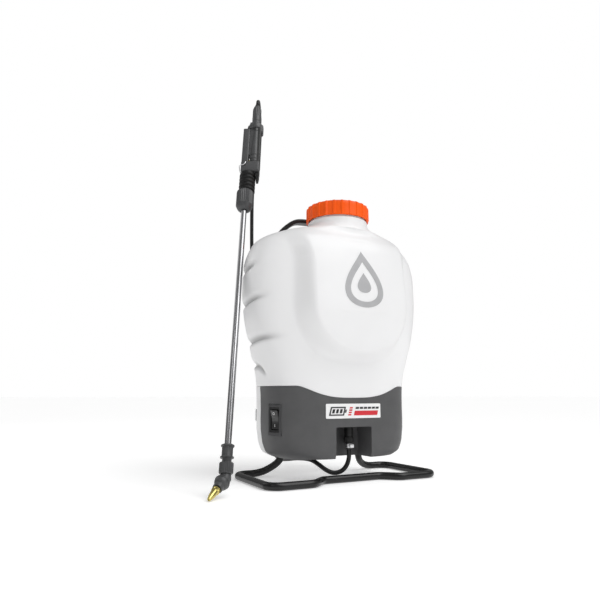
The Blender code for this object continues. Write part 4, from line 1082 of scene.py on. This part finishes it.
def make_hose():
    path = [tuple(p) for p in smooth_route(HOSE_ROUTE, 0.0045)]
    tube = sweep("spray_hose", path, circle(0.0045, 20), "hose", (1, 0, 0))
    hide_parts("hose")
    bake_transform(tube)


# ------------------------------------------------------------------ carrying gear


def make_carry_handle():
    half = [(0.0, 0.13, 0.5635), (0.03, 0.13, 0.563), (0.058, 0.1315, 0.56), (0.076, 0.137, 0.549)]
    half += [(0.09, 0.148, 0.533), (0.0985, 0.1625, 0.514), (0.102, 0.1715, 0.496), (0.1025, 0.173, 0.475)]
    half += [(0.1025, 0.173, 0.445)]
    right = smooth_route(half, 0.004)
    path = [(-x, y, z) for x, y, z in right[:0:-1]] + [tuple(p) for p in right]
    handle = sweep("handle_strap", path, oval(0.0262, 0.01, 40, 5.0), "trim", keep_up=len(right) - 1)
    stands_for(handle, "carry_handle")
    for x, label in ((-0.1025, "left"), (0.1025, "right")):
        foot, head, well, past = [(x * share, 0.173, 0.46) for share in (1.09, 1.12, 1.108, 1.14)]
        bolt = rod(f"bolt_head_{label}", foot, head, 0.0058, "zinc", bevel=0.0006)
        carve(bolt, rod("socket", well, past, 0.0028, "zinc", segments=6))
        stands_for(bolt, f"handle_bolt_{label}")


def points_of(thing):
    points = np.empty(len(thing.data.vertices) * 3, np.float32)
    thing.data.vertices.foreach_get("co", points)
    return points.reshape(-1, 3)


def cushion(thing, voxel, pressure, limit):
    """Cloth under pressure swells the pad by up to a limit. The result is kept in the mesh."""
    mesh_step = thing.modifiers.new("remesh", "REMESH")
    mesh_step.mode = "VOXEL"
    mesh_step.voxel_size = voxel
    bake(thing)
    rest = points_of(thing)
    cloth = thing.modifiers.new("cloth", "CLOTH")
    cloth.settings.quality = 5
    cloth.settings.mass = 0.2
    cloth.settings.tension_stiffness = 12
    cloth.settings.compression_stiffness = 12
    cloth.settings.bending_stiffness = 0.6
    cloth.settings.use_pressure = True
    cloth.settings.uniform_pressure_force = pressure
    cloth.settings.effector_weights.gravity = 0
    cloth.collision_settings.use_collision = False
    scene = bpy.context.scene
    for step in range(1, 19):
        scene.frame_set(step)
    bake(thing)
    scene.frame_set(1)
    shift = points_of(thing) - rest
    size = np.linalg.norm(shift, axis=1, keepdims=True)
    shift *= np.minimum(1.0, limit / np.maximum(size, 1e-9))
    thing.data.vertices.foreach_set("co", (rest + shift).astype(np.float32).ravel())
    thing.data.update()
    thing.data.shade_smooth()
    return thing


def press(thing, lines, width, middle):
    """Presses sewn lines into a pad's outer face, past its middle. Each line is (distance, depth)."""
    for v in thing.data.vertices:
        for distance, depth in lines:
            if v.co.y > middle:
                v.co.y -= depth * exp(-((distance(v.co) / width) ** 2))
    thing.data.update()


def finish_pad(thing, node, look="fabric"):
    """Smooths the pad and gives it its fabric, in place of its CAD node."""
    refine = thing.modifiers.new("smooth", "SUBSURF")
    refine.levels = refine.render_levels = 1
    bake(thing)
    thing.data.materials.clear()
    thing.data.materials.append(M[look])
    thing.data.shade_smooth()
    return stands_for(thing, node)


def stitches(name, path, up):
    """A row of short raised threads along a path."""
    up = Vector(up)
    fine = smooth_route(path, 0.0007)
    spacing, length, radius = 6, 4, 0.00035
    bm = bmesh.new()
    for start in range(0, len(fine) - length, spacing):
        a, b = Vector(fine[start]), Vector(fine[start + length])
        rows = []
        side = (b - a).normalized().cross(up).normalized()
        for t in (0, 0.25, 0.5, 0.75, 1):
            centre = a.lerp(b, t) + up * radius * 1.2 * sin(pi * t)
            r = radius * (0.45 + 0.55 * sin(pi * t))
            turns = np.linspace(0, 2 * pi, 6, endpoint=False)
            rows.append([bm.verts.new(centre + (side * cos(w) + up * sin(w)) * r) for w in turns])
        for lower, upper in zip(rows, rows[1:]):
            for i in range(6):
                bm.faces.new((lower[i], lower[(i + 1) % 6], upper[(i + 1) % 6], upper[i]))
        bm.faces.new(rows[0])
        bm.faces.new(rows[-1])
    return extra(link(name, bm, "thread"), "sprayer")


SCREW_Z = 0.123


def make_straps():
    for side, label in ((-1, "left"), (1, "right")):
        knots = [(0.05, 0.18, 0.493), (0.053, 0.19, 0.478), (0.058, 0.208, 0.44), (0.066, 0.224, 0.385)]
        knots += [(0.075, 0.231, 0.325), (0.084, 0.227, 0.27)]
        path = smooth_route([(side * x, y, z) for x, y, z in knots], 0.004)
        pad = sweep(f"shoulder_pad_{label}", path, oval(0.054, 0.0085, 28, 3.0), "fabric", (0, 1, 0.3))
        cushion(pad, 0.004, 3.0, 0.0035)
        finish_pad(pad, f"shoulder_strap_{label}")
        outer = [Vector(p) + Vector((0, 0.0066, 0.0018)) for p in path[3:-3]]
        for k, shift in enumerate((-0.02, 0.02)):
            line = [p + Vector((shift, 0, 0)) for p in outer[::4]]
            stitches(f"strap_stitch_{label}_{k}", line, (0, 0.97, 0.24))
        line = smooth_route([p + Vector((0, 0.0009, 0.0003)) for p in outer[::2]], 0.006)
        ribbon = sweep(f"strap_ribbon_{label}", line, oval(0.025, 0.0016, 16, 6.0), "web", (0, 1, 0.3))
        extra(ribbon, "sprayer")

        x, slots = side * 0.0865, []
        low, high = (x - 0.017, 0.2145, 0.2362), (x + 0.017, 0.2285, 0.2598)
        buckle = block(f"ladder_buckle_{label}", low, high, "trim", 0.0035, 4)
        for z in (0.2405, 0.2515):
            low, high = (x - 0.013, 0.2, z), (x + 0.013, 0.24, z + 0.0038)
            slots.append(block("slot", low, high, "trim", 0.0008))
        carve(buckle, *slots)
        stands_for(buckle, f"buckle_{label}")

        knots = [(0.0885, 0.2195, 0.2322), (0.094, 0.215, 0.21), (0.103, 0.2, 0.17), (0.111, 0.184, 0.14)]
        path = smooth_route([(side * x, y, z) for x, y, z in knots], 0.004)
        band = sweep(f"lower_webbing_{label}", path, oval(0.025, 0.0022, 24, 6.0), "web", (0, 1, 0.3))
        stands_for(band, f"webbing_{label}")

        x, cross = side * 0.113, []
        low, high = (x - 0.016, 0.1668, 0.1122), (x + 0.016, 0.185, 0.1386)
        anchor = block(f"lower_anchor_{label}", low, high, "trim", 0.0032, 4)
        carve(anchor, rod("well", (x, 0.18, SCREW_Z), (x, 0.19, SCREW_Z), 0.005, "trim"))
        stands_for(anchor, f"strap_anchor_{label}")
        top = (x, 0.1822, SCREW_Z)
        head = rod(f"anchor_screw_{label}", (x, 0.1794, SCREW_Z), top, 0.004, "zinc", bevel=0.0006)
        for wide, tall in ((0.0024, 0.0004), (0.0004, 0.0024)):
            low, high = (x - wide, 0.181, SCREW_Z - tall), (x + wide, 0.19, SCREW_Z + tall)
            cross.append(block("cross", low, high, "zinc"))
        extra(carve(head, *cross), "sprayer")

    pad = block("back_cushion", (-0.09, 0.17, 0.226), (0.09, 0.1815, 0.396), "mesh", 0.005, 3)
    cushion(pad, 0.0045, 3.5, 0.005)
    lines = [(lambda co, z=z: co.z - z, 0.0045) for z in (0.283, 0.339)]
    lines.append((lambda co: abs(co.x) - 0.026, 0.0035))
    press(pad, lines, 0.0045, 0.176)
    finish_pad(pad, "back_pad", "mesh")


make_tank()
emblem()
make_housings()
make_label()
make_switch()
make_battery()
make_outlet()
make_cap()
make_stand()
make_wand()
make_handle()
make_elbow()
make_hose()
make_carry_handle()
make_straps()
